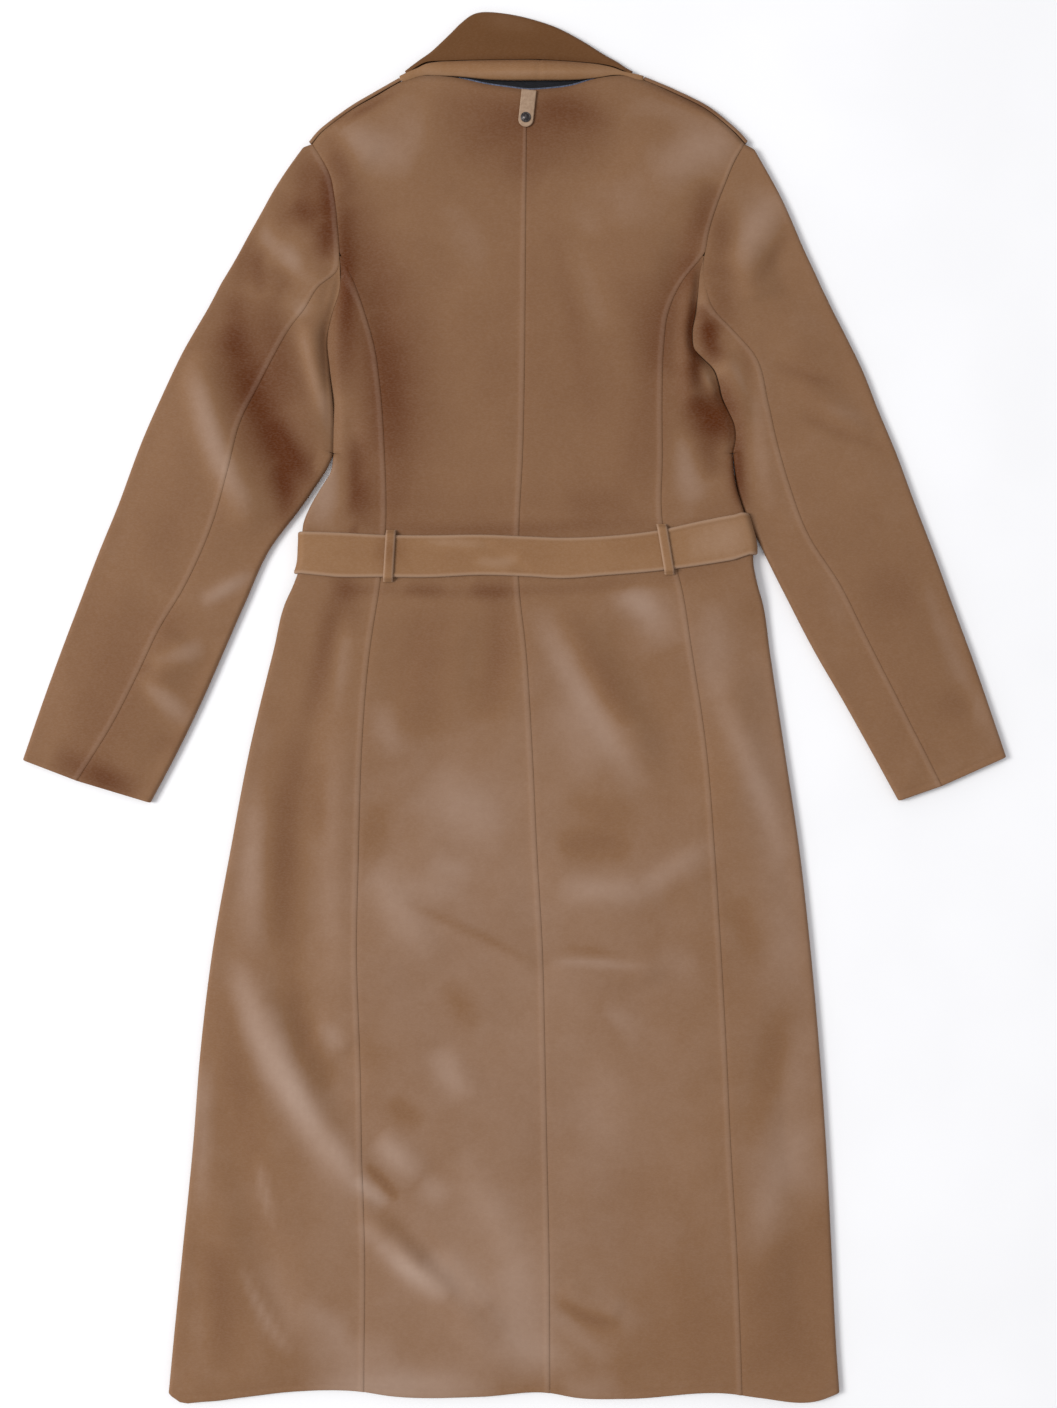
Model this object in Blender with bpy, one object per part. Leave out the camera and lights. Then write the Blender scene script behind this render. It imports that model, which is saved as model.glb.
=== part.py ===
"""A long belted wrap coat in double-faced wool, laid flat on its front with the back showing.

Every length is in millimetres and becomes metres where a mesh is made. Across is +X, up the coat is +Y
and +Z points up off the surface that the coat lies on. Left and right are the wearer's, which are the
viewer's too, because the coat is seen from behind. Z = 0 is that surface.
"""

import bmesh
import bpy
import numpy as np

MM = 0.001

# Cloth
CLOTH = 2.2
LINING = 1.0
SEAM_GAP = 0.3
LAY_GAP = 0.3
BOTTOM_MIDDLE = CLOTH / 2
EDGE_MIDDLE = 6.5
SWELL = 3.0
SWELL_REACH = 28.0
FOLD_FADE = 9.0
SOFT_FLOOR = 0.5

# Wrapped fronts and the seams under the coat
FRONT_STEP = CLOTH + LAY_GAP
FRONT_RAMP_FOOT = 78.0
FRONT_RAMP_TOP = 34.0
FRONT_HEM_SHORT = 2.0
SIDE_SEAM_INSET = 30.0
SIDE_SEAM_GROWN = 110.0
UNDERARM_INSET = 5.6
UNDERARM_OPENS = 30.0

# Belt, loops, tab, snap and the lining in the open neck
BELT_THICK = 3.5
BELT_LIFT = BELT_THICK + LAY_GAP
BELT_FLAT = 40.0
BELT_FADE = 40.0
BELT_END_GAP = 6.0
LOOP_WIDTH = 9.0
LOOP_FOOT = 4.0
TAB_TOP = np.array([13.1, 553.6])
TAB_RUN = np.array([-0.11, -0.994])
TAB_WIDTH = 13.5
TAB_LENGTH = 33.0
TAB_THICK = 2.0
TAB_GAP = 0.4
TAB_END_TURNS = np.radians(np.array([0, 25, 48, 66, 80]))
SNAP_SPOT = np.array([10.1, 529.2])
SNAP_RADIUS = 4.6
SNAP_HEIGHT = 2.2
SNAP_RIM = 0.3
SNAP_TURNS = np.radians(np.array([0, 22, 45, 68]))
LINING_ACROSS = (-56.0, 78.0)
LINING_TOP = 571.0
LINING_TUCK = 6.0

# Levels up the coat
CAP_TOP = 506.3
APEX = 405.0
SEAM_START = 394.0
UNDERARM = 228.0
HEM = -617.4
HEM_REACH = 60.0
CAP_LEVELS = np.linspace(CAP_TOP, APEX, 9)
SIDE_LEVELS = np.array([APEX, SEAM_START, 380, 364, 348, 331, 314, 297, 280, 263, 245, UNDERARM])
WAIST_LEVELS = np.array([212, 198, 183, 165, 147, 129, 111, 92, 70, 40, 5, -33])
SKIRT_LEVELS = np.linspace(-72, HEM, 15)
BODY_LEVELS = np.concatenate([SIDE_LEVELS, WAIST_LEVELS, SKIRT_LEVELS])
SLEEVE_ROWS = 14

# Cells across a piece: above, round its fold and below
BACK_CELLS = 9
FRONT_CELLS = 8
SIDE_CELLS = (4, 4, 1)
TOP_SLEEVE_CELLS = (4, 4, 2)
UNDER_SLEEVE_CELLS = (3, 4, 2)
COLLAR_CELLS = (4, 4, 3)
SHOULDER_TURNS = 4
BAND_CELLS = (22, 6)
LINING_CELLS = (10, 3)
BELT_CELLS = 3
BELT_TURNS = 6
BELT_FRONT_CELLS = 8
BELT_BACK_CELLS = 18
SNAP_SIDES = 16

# up the coat, left princess seam, centre back seam, right princess seam
SEAMS = np.array([
    (-617.4, -135.5, 31.9, 204.8),
    (-489.0, -134.6, 31.1, 199.8),
    (-399.0, -137.2, 29.2, 194.5),
    (-309.0, -139.1, 27.4, 190.4),
    (-219.0, -141.8, 25.2, 185.6),
    (-129.0, -140.0, 20.2, 179.8),
    (-39.0, -137.2, 16.0, 172.6),
    (51.0, -130.1, 10.4, 159.3),
    (112.0, -120.6, 4.0, 149.0),
    (160.0, -115.7, 4.1, 133.9),
    (228.0, -116.8, 7.4, 132.9),
    (290.0, -121.0, 8.8, 132.8),
    (325.0, -126.2, 9.3, 134.2),
    (355.0, -134.8, 9.5, 138.3),
    (382.0, -144.5, 9.8, 150.5),
    (405.0, -155.6, 9.9, 168.8),
    (554.4, -155.6, 11.2, 168.8),
])

# up the coat, across: the armhole, then the line where sleeve and body lie side by side
JOIN_LEFT = np.array([
    (228.0, -163.3),
    (269.0, -163.3),
    (305.0, -167.0),
    (331.0, -168.8),
    (354.0, -164.2),
    (375.0, -157.6),
    (394.0, -157.0),
    (405.0, -157.3),
    (431.0, -158.9),
    (458.0, -161.6),
    (479.0, -166.1),
    (497.0, -175.8),
    (506.3, -182.0),
])
JOIN_RIGHT = np.array([
    (228.0, 196.7),
    (242.0, 199.3),
    (255.0, 197.6),
    (265.0, 193.1),
    (279.0, 186.8),
    (291.0, 184.1),
    (305.0, 178.7),
    (314.0, 169.7),
    (322.0, 162.0),
    (334.0, 159.8),
    (354.0, 162.5),
    (375.0, 165.2),
    (394.0, 167.3),
    (405.0, 170.5),
    (429.0, 175.1),
    (449.0, 181.3),
    (472.5, 190.3),
    (492.0, 198.5),
    (506.3, 207.0),
])

# up the coat, left side fold, right side fold
SIDES = np.array([
    (-617.4, -311.9, 292.9),
    (-579.0, -308.2, 290.2),
    (-489.0, -299.2, 285.8),
    (-399.0, -290.2, 281.2),
    (-309.0, -283.1, 274.9),
    (-219.0, -272.2, 266.9),
    (-129.0, -256.1, 256.9),
    (-39.0, -239.0, 243.5),
    (51.0, -217.3, 230.0),
    (92.0, -207.0, 224.0),
    (111.0, -198.5, 218.5),
    (129.0, -192.5, 215.0),
    (147.0, -191.2, 212.5),
    (165.0, -190.0, 207.0),
    (183.0, -182.5, 203.4),
    (198.0, -174.0, 198.8),
    (212.0, -165.8, 196.8),
    (228.0, -163.3, 196.7),
])

# inner edge up and across, back seam across and up, outer fold across and up
SLEEVE_LEFT = np.array([
    (-86.4, -328.1, -393.8, -66.6, -443.2, -47.7),
    (-38.7, -302.9, -362.2, -17.1, -425.2, 4.5),
    (6.3, -281.2, -338.9, 27.9, -408.2, 51.3),
    (51.3, -261.4, -319.1, 70.2, -391.1, 96.3),
    (96.3, -241.7, -294.8, 111.6, -374.9, 138.6),
    (141.3, -221.0, -272.2, 162.0, -356.9, 182.7),
    (186.3, -187.7, -256.9, 213.3, -336.2, 238.5),
    (228.0, -163.3, -247.1, 253.8, -317.2, 281.7),
    (269.0, -163.3, -231.8, 286.2, -300.0, 318.0),
    (305.0, -167.0, -216.5, 315.0, -287.0, 341.0),
    (331.0, -168.8, -202.1, 340.2, -277.0, 358.0),
    (354.0, -164.2, -188.6, 358.2, -270.0, 371.0),
    (375.0, -157.6, -176.8, 377.1, -264.5, 381.6),
    (394.0, -157.0, -158.8, 393.6, -257.0, 394.0),
    (405.0, -157.3, -157.3, 405.0, -251.6, 403.2),
    (431.0, -158.9, -158.9, 431.0, -239.8, 424.8),
    (458.0, -161.6, -161.6, 458.0, -227.2, 447.3),
    (479.0, -166.1, -166.1, 479.0, -215.6, 468.0),
    (497.0, -175.8, -175.8, 497.0, -202.0, 488.5),
    (506.3, -182.0, -182.0, 506.3, -191.5, 503.0),
])
SLEEVE_RIGHT = np.array([
    (-84.6, 346.1, 384.8, -71.1, 443.2, -45.0),
    (-38.7, 320.9, 362.2, -27.0, 429.8, -5.4),
    (6.3, 295.7, 338.9, 18.9, 412.7, 44.1),
    (51.3, 269.6, 315.4, 64.8, 394.7, 92.7),
    (96.3, 246.2, 292.9, 109.8, 378.4, 137.7),
    (143.1, 222.8, 264.2, 154.8, 360.4, 184.5),
    (188.1, 202.4, 247.1, 199.8, 343.4, 230.4),
    (228.0, 196.7, 235.3, 240.3, 327.2, 269.1),
    (265.0, 193.1, 228.0, 273.0, 314.5, 301.5),
    (305.0, 178.7, 217.3, 314.1, 297.5, 336.6),
    (334.0, 159.8, 196.7, 338.4, 287.0, 357.0),
    (354.0, 162.5, 179.6, 356.4, 281.0, 369.5),
    (375.0, 165.2, 172.4, 373.6, 276.3, 379.0),
    (394.0, 167.3, 169.2, 393.4, 272.3, 388.0),
    (405.0, 170.5, 170.5, 405.0, 268.3, 396.5),
    (429.0, 175.1, 175.1, 429.0, 259.7, 414.9),
    (449.0, 181.3, 181.3, 449.0, 249.8, 438.3),
    (472.5, 190.3, 190.3, 472.5, 239.0, 461.7),
    (492.0, 198.5, 198.5, 492.0, 226.5, 484.5),
    (506.3, 207.0, 207.0, 506.3, 217.0, 501.0),
])

# crease across and up, fold across and up, from the shoulder point to the neck
SHOULDER_LEFT = np.array([
    (-182.0, 506.3, -185.3, 509.6),
    (-171.2, 518.9, -174.2, 522.0),
    (-146.7, 537.0, -149.0, 540.9),
    (-124.0, 549.8, -127.0, 554.0),
    (-101.5, 562.6, -104.5, 566.9),
])
SHOULDER_RIGHT = np.array([
    (207.0, 506.3, 210.2, 510.3),
    (195.9, 518.5, 199.3, 521.8),
    (173.0, 537.1, 175.1, 541.2),
    (143.0, 552.2, 144.7, 556.6),
    (115.8, 563.9, 117.5, 568.1),
])

# across, up: the back neck edge from each neck point to the nape
NECK_LEFT = np.array([(-80.5, 568.0), (-53.6, 566.2), (-25.7, 559.8), (-1.4, 556.0), (11.2, 554.4)])
NECK_RIGHT = np.array([(98.5, 568.0), (74.0, 564.8), (50.9, 558.0), (31.1, 555.3), (11.2, 554.4)])

# up, across: free edge of the left front. The right front's is its mirror image about FRONT_CENTRE
FRONT_EDGE = np.array([
    (-617.4, 106.0),
    (150.0, 96.0),
    (250.0, 82.0),
    (350.0, 35.0),
    (450.0, -30.0),
    (561.0, -97.5),
])
FRONT_CENTRE = 9.0

# across, up: hem
HEM_LINE = np.array([
    (-311.9, -617.4),
    (-304.0, -624.2),
    (-280.4, -625.3),
    (-240.8, -621.0),
    (-202.0, -616.5),
    (-137.2, -616.5),
    (-113.9, -620.1),
    (-31.1, -621.0),
    (30.2, -617.4),
    (56.2, -621.9),
    (99.5, -622.8),
    (194.0, -618.3),
    (220.0, -621.9),
    (274.0, -624.4),
    (292.9, -617.4),
])

# across, lower edge, upper edge
BAND = np.array([
    (-102.8, 565.7, 567.4),
    (-99.0, 564.4, 569.4),
    (-95.0, 565.0, 571.4),
    (-88.0, 567.1, 574.2),
    (-80.0, 568.9, 578.0),
    (-70.0, 568.8, 579.8),
    (-53.0, 568.0, 580.5),
    (-22.0, 564.6, 580.8),
    (25.0, 563.6, 580.4),
    (61.0, 564.6, 578.6),
    (76.0, 566.4, 577.2),
    (90.0, 568.6, 574.2),
    (98.0, 568.4, 571.4),
    (103.0, 567.4, 570.4),
    (109.0, 566.2, 569.2),
    (115.6, 565.4, 567.4),
])
BAND_HIGH = 6.0

# foot across and up, outer fold across and up
COLLAR = np.array([
    (-97.2, 571.4, -98.8, 573.2),
    (-89.4, 575.5, -91.8, 578.6),
    (-80.5, 580.2, -84.5, 584.0),
    (-72.0, 581.4, -74.0, 591.6),
    (-57.0, 581.8, -58.1, 606.6),
    (-46.0, 582.0, -48.1, 616.5),
    (-34.0, 582.0, -37.4, 624.2),
    (-20.0, 582.0, -25.0, 626.4),
    (0.0, 582.0, -5.0, 624.4),
    (18.0, 582.0, 15.0, 620.0),
    (38.0, 581.2, 38.0, 612.3),
    (58.0, 580.2, 60.0, 600.8),
    (78.0, 578.6, 80.0, 588.4),
    (90.0, 576.2, 92.2, 581.6),
    (98.3, 572.9, 100.5, 576.0),
    (105.4, 571.2, 106.6, 572.8),
])
COLLAR_TUCK = 22.0
COLLAR_END_TUCK = 3.0
COLLAR_TAPER = 0.2

# across, lower edge, upper edge
BELT = np.array([
    (-196.0, 119.8, 157.5),
    (-160.0, 116.6, 156.6),
    (-118.0, 116.5, 154.5),
    (-79.0, 116.2, 154.0),
    (-28.0, 118.3, 154.6),
    (13.0, 117.0, 153.0),
    (41.0, 115.4, 151.9),
    (81.0, 118.0, 153.2),
    (128.0, 122.0, 158.4),
    (170.0, 127.5, 167.4),
    (197.0, 132.0, 172.5),
    (218.0, 136.8, 174.5),
])

# top end across and up, bottom end across and up
LOOPS = {
    "left": (-110.7, 157.5, -113.4, 112.5),
    "right": (131.9, 162.9, 139.5, 117.0),
}

# Largest folds. start, middle and end (across and up), half width, height, where it lies
FOLDS = (
    ((-166, 105), (-193, -39), (-186, -264), 24, -3.5, "body"),
    ((-104, 112), (-103, 60), (-110, 0), 21, -3.0, "body"),
    ((-24, 110), (-22, 60), (-28, 6), 19, -3.0, "body"),
    ((34, 96), (80, 29), (120, -60), 18, 3.0, "body"),
    ((78, 84), (120, 14), (152, -76), 20, -1.5, "body"),
    ((190, 40), (200, -30), (204, -95), 25, 2.5, "body"),
    ((22, -140), (100, -158), (186, -148), 26, 2.5, "body"),
    ((-67, -190), (-18, -214), (26, -232), 11, 1.5, "body"),
    ((28, -236), (82, -243), (134, -236), 10, 2.2, "body"),
    ((-240, -232), (-195, -338), (-130, -434), 17, 4.0, "body"),
    ((-132, -448), (-84, -505), (-12, -574), 15, 4.0, "body"),
    ((-196, -255), (-172, -310), (-140, -352), 20, -3.0, "body"),
    ((-128, -440), (-98, -474), (-60, -506), 12, -2.5, "body"),
    ((-258, -350), (-232, -470), (-200, -566), 19, -3.0, "body"),
    ((-180, -292), (-166, -300), (-150, -312), 24, 1.8, "body"),
    ((40, -524), (70, -535), (98, -544), 12, 2.0, "body"),
    ((248, -264), (252, -430), (258, -606), 22, -2.2, "body"),
    ((-156, 508), (-146, 496), (-130, 482), 34, 1.6, "body"),
    ((96, 500), (122, 474), (140, 440), 36, 1.6, "body"),
    ((-85, 505), (16, 480), (122, 512), 32, -1.6, "body"),
    ((-140, 425), (-126, 378), (-116, 318), 16, -2.2, "body"),
    ((152, 436), (146, 405), (140, 372), 14, -2.2, "body"),
    ((-146, 262), (-146, 222), (-146, 186), 9, -1.8, "body"),
    ((163, 392), (155, 338), (160, 262), 8, 3.0, "body"),
    ((170, 352), (176, 306), (190, 262), 12, -3.4, "body"),
    ((-158, 396), (-169, 331), (-163, 214), 8, -2.8, "all"),
    ((-290, 326), (-266, 240), (-230, 155), 17, 4.0, "sleeve"),
    ((-249, 335), (-222, 265), (-190, 184), 18, -3.0, "sleeve"),
    ((-200, 240), (-192, 212), (-190, 186), 14, -1.5, "sleeve"),
    ((-182, 350), (-176, 306), (-160, 262), 9, 2.5, "sleeve"),
    ((-300, 66), (-312, 42), (-322, 14), 22, 2.6, "sleeve"),
    ((210, 420), (211, 390), (217, 362), 15, 2.6, "sleeve"),
    ((247, 416), (248, 392), (254, 368), 15, -2.2, "sleeve"),
    ((186, 322), (199, 290), (209, 250), 9, 2.0, "sleeve"),
    ((254, 296), (288, 268), (322, 240), 11, 1.3, "sleeve"),
)

FINISHES = {
    "wool": ((0.263, 0.134, 0.070, 1.0), 0.85, 0.0),
    "lining": ((0.012, 0.013, 0.018, 1.0), 0.60, 0.0),
    "tab": ((0.300, 0.190, 0.125, 1.0), 0.65, 0.0),
    "snap": ((0.060, 0.055, 0.055, 1.0), 0.35, 1.0),
}

OUTWARD = {"left": -1, "right": 1}
JOINS = {"left": JOIN_LEFT, "right": JOIN_RIGHT}
SLEEVES = {"left": SLEEVE_LEFT, "right": SLEEVE_RIGHT}
SHOULDERS = {"left": SHOULDER_LEFT, "right": SHOULDER_RIGHT}
NECKS = {"left": NECK_LEFT, "right": NECK_RIGHT}


# Curves

def smooth(table, at, column=1):
    """A smooth curve through one column of a table whose first column rises, read at the given places."""
    knots = table[:, 0]
    values = table[:, column]
    slopes = np.gradient(values, knots)
    at = np.clip(np.asarray(at, float), knots[0], knots[-1])
    k = np.clip(np.searchsorted(knots, at, side="right") - 1, 0, len(knots) - 2)
    length = knots[k + 1] - knots[k]
    s = (at - knots[k]) / length
    rising = s * s * (3 - 2 * s)
    start = s * (1 - s) ** 2 * length * slopes[k]
    end = s * s * (1 - s) * length * slopes[k + 1]
    return values[k] * (1 - rising) + values[k + 1] * rising + start - end


def ease(share):
    """0 to 1 with level ends."""
    share = np.clip(share, 0, 1)
    return share * share * (3 - 2 * share)


def pairs(across, up):
    return np.stack([np.broadcast_to(across, np.shape(up)), up], axis=-1).astype(float)


def beside(curve, distance):
    """The curve, which runs down the coat, moved to its right by a distance in its own plane."""
    run = np.gradient(curve, axis=0)
    side = np.stack([-run[:, 1], run[:, 0]], axis=-1)
    return curve + distance * side / np.linalg.norm(side, axis=1, keepdims=True)


def mixed(start, end, shares):
    """Points at the given shares of the way from each start to its end."""
    shares = np.asarray(shares)[:, None]
    return start[..., None, :] * (1 - shares) + end[..., None, :] * shares


def with_halves(points):
    """The points with the middle of each stretch put in between them."""
    between = (points[:-1] + points[1:]) / 2
    found = np.empty((len(points) + len(between), points.shape[1]))
    found[0::2] = points
    found[1::2] = between
    return found


def polyline_distance(spots, line):
    """How far each spot is from a run of straight stretches, and how far along it the nearest point is."""
    flat = spots.reshape(-1, 2)
    nearest = np.full(len(flat), np.inf)
    along = np.zeros(len(flat))
    for k in range(len(line) - 1):
        run = line[k + 1] - line[k]
        share = np.clip((flat - line[k]) @ run / (run @ run), 0, 1)
        gap = np.linalg.norm(flat - line[k] - share[:, None] * run, axis=1)
        closer = gap < nearest
        nearest[closer] = gap[closer]
        along[closer] = (k + share[closer]) / (len(line) - 1)
    return nearest.reshape(spots.shape[:-1]), along.reshape(spots.shape[:-1])


def bowed(start, middle, end, steps=10):
    """A curve that passes through three points."""
    start, middle, end = (np.array(point, float) for point in (start, middle, end))
    pull = 2 * middle - (start + end) / 2
    s = np.linspace(0, 1, steps + 1)[:, None]
    return start * (1 - s) ** 2 + 2 * pull * s * (1 - s) + end * s * s


# Where the seams and edges run

def join_line(side, levels):
    return pairs(smooth(JOINS[side], levels), levels)


def side_line(side, levels):
    return pairs(smooth(SIDES, levels, 1 if side == "left" else 2), levels)


def body_edge(side, levels):
    """Join line down to the underarm, then the side fold."""
    levels = np.asarray(levels, float)
    joined = smooth(JOINS[side], levels)
    free = smooth(SIDES, levels, 1 if side == "left" else 2)
    return pairs(np.where(levels >= UNDERARM, joined, free), levels)


def princess_line(side, levels):
    return pairs(smooth(SEAMS, levels, 1 if side == "left" else 3), levels)


def centre_line(levels):
    return pairs(smooth(SEAMS, levels, 2), levels)


def front_edge(side, levels):
    across = smooth(FRONT_EDGE, levels)
    if side == "right":
        across = 2 * FRONT_CENTRE - across
    return pairs(across, levels)


def side_seam(side, levels):
    """Where the front meets the side back, on the underside."""
    levels = np.asarray(levels, float)
    grown = ease((UNDERARM - levels) / SIDE_SEAM_GROWN)
    inset = UNDERARM_INSET + (SIDE_SEAM_INSET - UNDERARM_INSET) * grown
    across = body_edge(side, levels)[:, 0] - OUTWARD[side] * inset
    joined = smooth(JOINS[side], levels)
    return pairs(np.where(levels > UNDERARM, joined, across), levels)


def sleeve_lines(side, levels):
    """Inner edge, back seam and outer fold of a sleeve at sections named by their inner edge's level."""
    table = SLEEVES[side]
    levels = np.asarray(levels, float)
    joined = join_line(side, levels)
    inner = pairs(smooth(table, levels, 1), levels)
    inner = np.where(levels[:, None] >= UNDERARM, joined, inner)
    seam = np.stack([smooth(table, levels, 2), smooth(table, levels, 3)], axis=-1)
    seam = np.where(levels[:, None] >= APEX, joined, seam)
    outer = np.stack([smooth(table, levels, 4), smooth(table, levels, 5)], axis=-1)
    return inner, seam, outer


def outline():
    """The whole coat's outer line, with its arms and collar, as one closed run of points."""
    runs = []
    for side in ("left", "right"):
        table = SLEEVES[side]
        down = np.linspace(CAP_TOP, table[0, 0], 40)
        inner, _, outer = sleeve_lines(side, down)
        inner = inner[inner[:, 1] <= UNDERARM][::-1]
        body = side_line(side, np.linspace(UNDERARM, HEM, 34))
        runs.append(np.vstack([SHOULDERS[side][::-1, 2:], outer, inner, body]))
    hem = HEM_LINE[1:-1]
    collar = COLLAR[:, 2:]
    return np.vstack([runs[0], hem, runs[1][::-1], collar[::-1], runs[0][:1]])


OUTLINE = outline()


# Heights above the surface

def belt_middle(across):
    return (smooth(BELT, across, 1) + smooth(BELT, across, 2)) / 2


def pressed(spots):
    """1 where the belt holds the cloth flat, falling to 0 away from it."""
    away = np.abs(spots[..., 1] - belt_middle(spots[..., 0]))
    return 1 - ease((away - BELT_FLAT) / BELT_FADE)


def fold_height(spots, place):
    total = np.zeros(spots.shape[:-1])
    for start, middle, end, width, height, where in FOLDS:
        if where not in (place, "all"):
            continue
        away, along = polyline_distance(spots, bowed(start, middle, end))
        tapered = ease(np.minimum(along, 1 - along) / 0.25 + 0.25)
        total += height * tapered * np.exp(-((away / width) ** 2))
    return total


def top_middle(spots, place="body"):
    """Height of the middle of the upper layer of cloth."""
    inside, _ = polyline_distance(spots, OUTLINE)
    swell = SWELL * (1 - np.exp(-((inside / SWELL_REACH) ** 2)))
    folds = fold_height(spots, place) * (1 - np.exp(-((inside / FOLD_FADE) ** 2)))
    rise = swell + folds
    rise = (rise + np.sqrt(rise * rise + SOFT_FLOOR**2)) / 2
    if place != "body":
        return EDGE_MIDDLE + rise
    held = pressed(spots)
    return EDGE_MIDDLE + rise * (1 - held) + BELT_LIFT * held


def bottom_middle(spots, place="body"):
    """Height of the middle of the cloth that lies on the surface."""
    if place != "body":
        return np.full(spots.shape[:-1], BOTTOM_MIDDLE)
    return BOTTOM_MIDDLE + BELT_LIFT * pressed(spots)


def front_climb(spots):
    """How far the left front is raised where it lies on the right one."""
    right_edge = 2 * FRONT_CENTRE - smooth(FRONT_EDGE, spots[..., 1])
    before = right_edge - spots[..., 0]
    return FRONT_STEP * ease((FRONT_RAMP_FOOT - before) / (FRONT_RAMP_FOOT - FRONT_RAMP_TOP))


def with_hem(spots, shorter=0.0):
    """Spots near the bottom moved down to the uneven hem."""
    near = np.clip(1 - (spots[..., 1] - HEM) / HEM_REACH, 0, 1) ** 2
    found = spots.copy()
    found[..., 1] += near * (smooth(HEM_LINE, spots[..., 0]) - HEM + shorter)
    return found


# Meshes

def finish_of(name):
    made = bpy.data.materials.get(name)
    if made:
        return made
    colour, roughness, metallic = FINISHES[name]
    made = bpy.data.materials.new(name)
    made.use_nodes = True
    shader = made.node_tree.nodes["Principled BSDF"]
    shader.inputs["Base Color"].default_value = colour
    shader.inputs["Roughness"].default_value = roughness
    shader.inputs["Metallic"].default_value = metallic
    return made


def place(name, mesh, finish, parent):
    bmesh.ops.recalc_face_normals(mesh, faces=mesh.faces)
    data = bpy.data.meshes.new(name)
    mesh.to_mesh(data)
    mesh.free()
    data.shade_smooth()
    data.set_sharp_from_angle(angle=np.radians(40))
    data.materials.append(finish_of(finish))
    piece = bpy.data.objects.new(name, data)
    bpy.context.scene.collection.objects.link(piece)
    piece.parent = parent
    return piece


def wall(middle, outward, cells, thickness):
    """A closed wall: a grid's points moved out and in by half the thickness, rimmed round its cells."""
    mesh = bmesh.new()
    corners = {}

    def corner(face, row, column):
        key = (face, row, column)
        if key not in corners:
            spot = middle[row, column] + face * thickness / 2 * outward[row, column]
            corners[key] = mesh.verts.new(spot * MM)
        return corners[key]

    kept = np.pad(cells, 1)
    for row, column in np.argwhere(cells):
        ring = ((row, column), (row, column + 1), (row + 1, column + 1), (row + 1, column))
        beyond = ((row - 1, column), (row, column + 1), (row + 1, column), (row, column - 1))
        mesh.faces.new([corner(1, *at) for at in ring])
        mesh.faces.new([corner(-1, *at) for at in reversed(ring)])
        for k in range(4):
            next_row, next_column = beyond[k]
            if kept[next_row + 1, next_column + 1]:
                continue
            first = ring[k]
            last = ring[(k + 1) % 4]
            rim = (corner(1, *last), corner(1, *first), corner(-1, *first), corner(-1, *last))
            mesh.faces.new(rim)
    return mesh


def flat_wall(spots, heights, thickness=CLOTH):
    """A wall over a grid of spots whose faces lie straight above and below each other."""
    middle = np.concatenate([spots, heights[..., None]], axis=-1)
    outward = np.zeros_like(middle)
    outward[..., 2] = 1
    cells = np.ones((spots.shape[0] - 1, spots.shape[1] - 1), bool)
    return wall(middle, outward, cells, thickness)


def coons(bottom, top, first, last):
    """Spots inside four edges: bottom and top run across, first and last run from bottom to top."""
    u = np.linspace(0, 1, len(bottom))[None, :, None]
    v = np.linspace(0, 1, len(first))[:, None, None]
    ruled = bottom * (1 - v) + top * v + first[:, None] * (1 - u) + last[:, None] * u
    low = bottom[0] * (1 - u) + bottom[-1] * u
    high = top[0] * (1 - u) + top[-1] * u
    return ruled - low * (1 - v) - high * v


def folded_rows(start, edge, finish, cells, where):
    """Rows of a wall that run across the top from start, round a fold at edge and back below to finish."""
    top_cells, round_cells, bottom_cells = cells
    out = edge - start
    out /= np.linalg.norm(out, axis=1, keepdims=True)
    radius = (EDGE_MIDDLE - BOTTOM_MIDDLE) / 2 * np.ones(len(start))
    for _ in range(2):
        centre = edge - out * (radius[:, None] + CLOTH / 2)
        high = top_middle(centre, where)
        low = bottom_middle(centre, where)
        radius = (high - low) / 2
    top = mixed(start, centre, np.linspace(0, 1, top_cells + 1))
    bottom = mixed(centre, finish, np.linspace(0, 1, bottom_cells + 1))
    turn = np.linspace(np.pi / 2, -np.pi / 2, round_cells + 1)[1:-1]
    bend = centre[:, None] + radius[:, None, None] * np.cos(turn)[None, :, None] * out[:, None]
    bend_height = ((high + low) / 2)[:, None] + radius[:, None] * np.sin(turn)
    spots = np.concatenate([top, bend, bottom], axis=1)
    heights = np.concatenate([top_middle(top, where), bend_height, bottom_middle(bottom, where)], axis=1)
    outward = np.zeros(spots.shape[:2] + (3,))
    outward[:, : top_cells + 1, 2] = 1
    outward[:, -bottom_cells - 1 :, 2] = -1
    bent = slice(top_cells + 1, top_cells + round_cells)
    outward[:, bent, :2] = np.cos(turn)[None, :, None] * out[:, None]
    outward[:, bent, 2] = np.sin(turn)
    return spots, heights, outward


# Pieces

def back_spots(side):
    """Grid of a centre back panel: level rows to the apex, then rows that fan up to shoulder and neck."""
    outward = OUTWARD[side]
    half = SEAM_GAP / 2
    outer = beside(princess_line(side, BODY_LEVELS), -outward * half)
    centre = beside(centre_line(BODY_LEVELS), outward * half)
    level = mixed(outer, centre, np.linspace(0, 1, BACK_CELLS + 1))
    armhole = beside(join_line(side, CAP_LEVELS), -outward * half)[::-1]
    armhole[0] = outer[0]
    nape = np.linspace(APEX, NECKS[side][-1, 1], len(CAP_LEVELS))
    spine = beside(centre_line(nape[::-1]), outward * half)[::-1]
    spine[0] = centre[0]
    top = np.vstack([SHOULDERS[side][:, :2], NECKS[side]])
    top[0] = armhole[-1]
    top[-1] = spine[-1]
    yoke = coons(level[0], top, armhole, spine)
    return np.concatenate([yoke[::-1], with_hem(level[1:])])


def back_panel(side):
    spots = back_spots(side)
    return flat_wall(spots, top_middle(spots))


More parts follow.
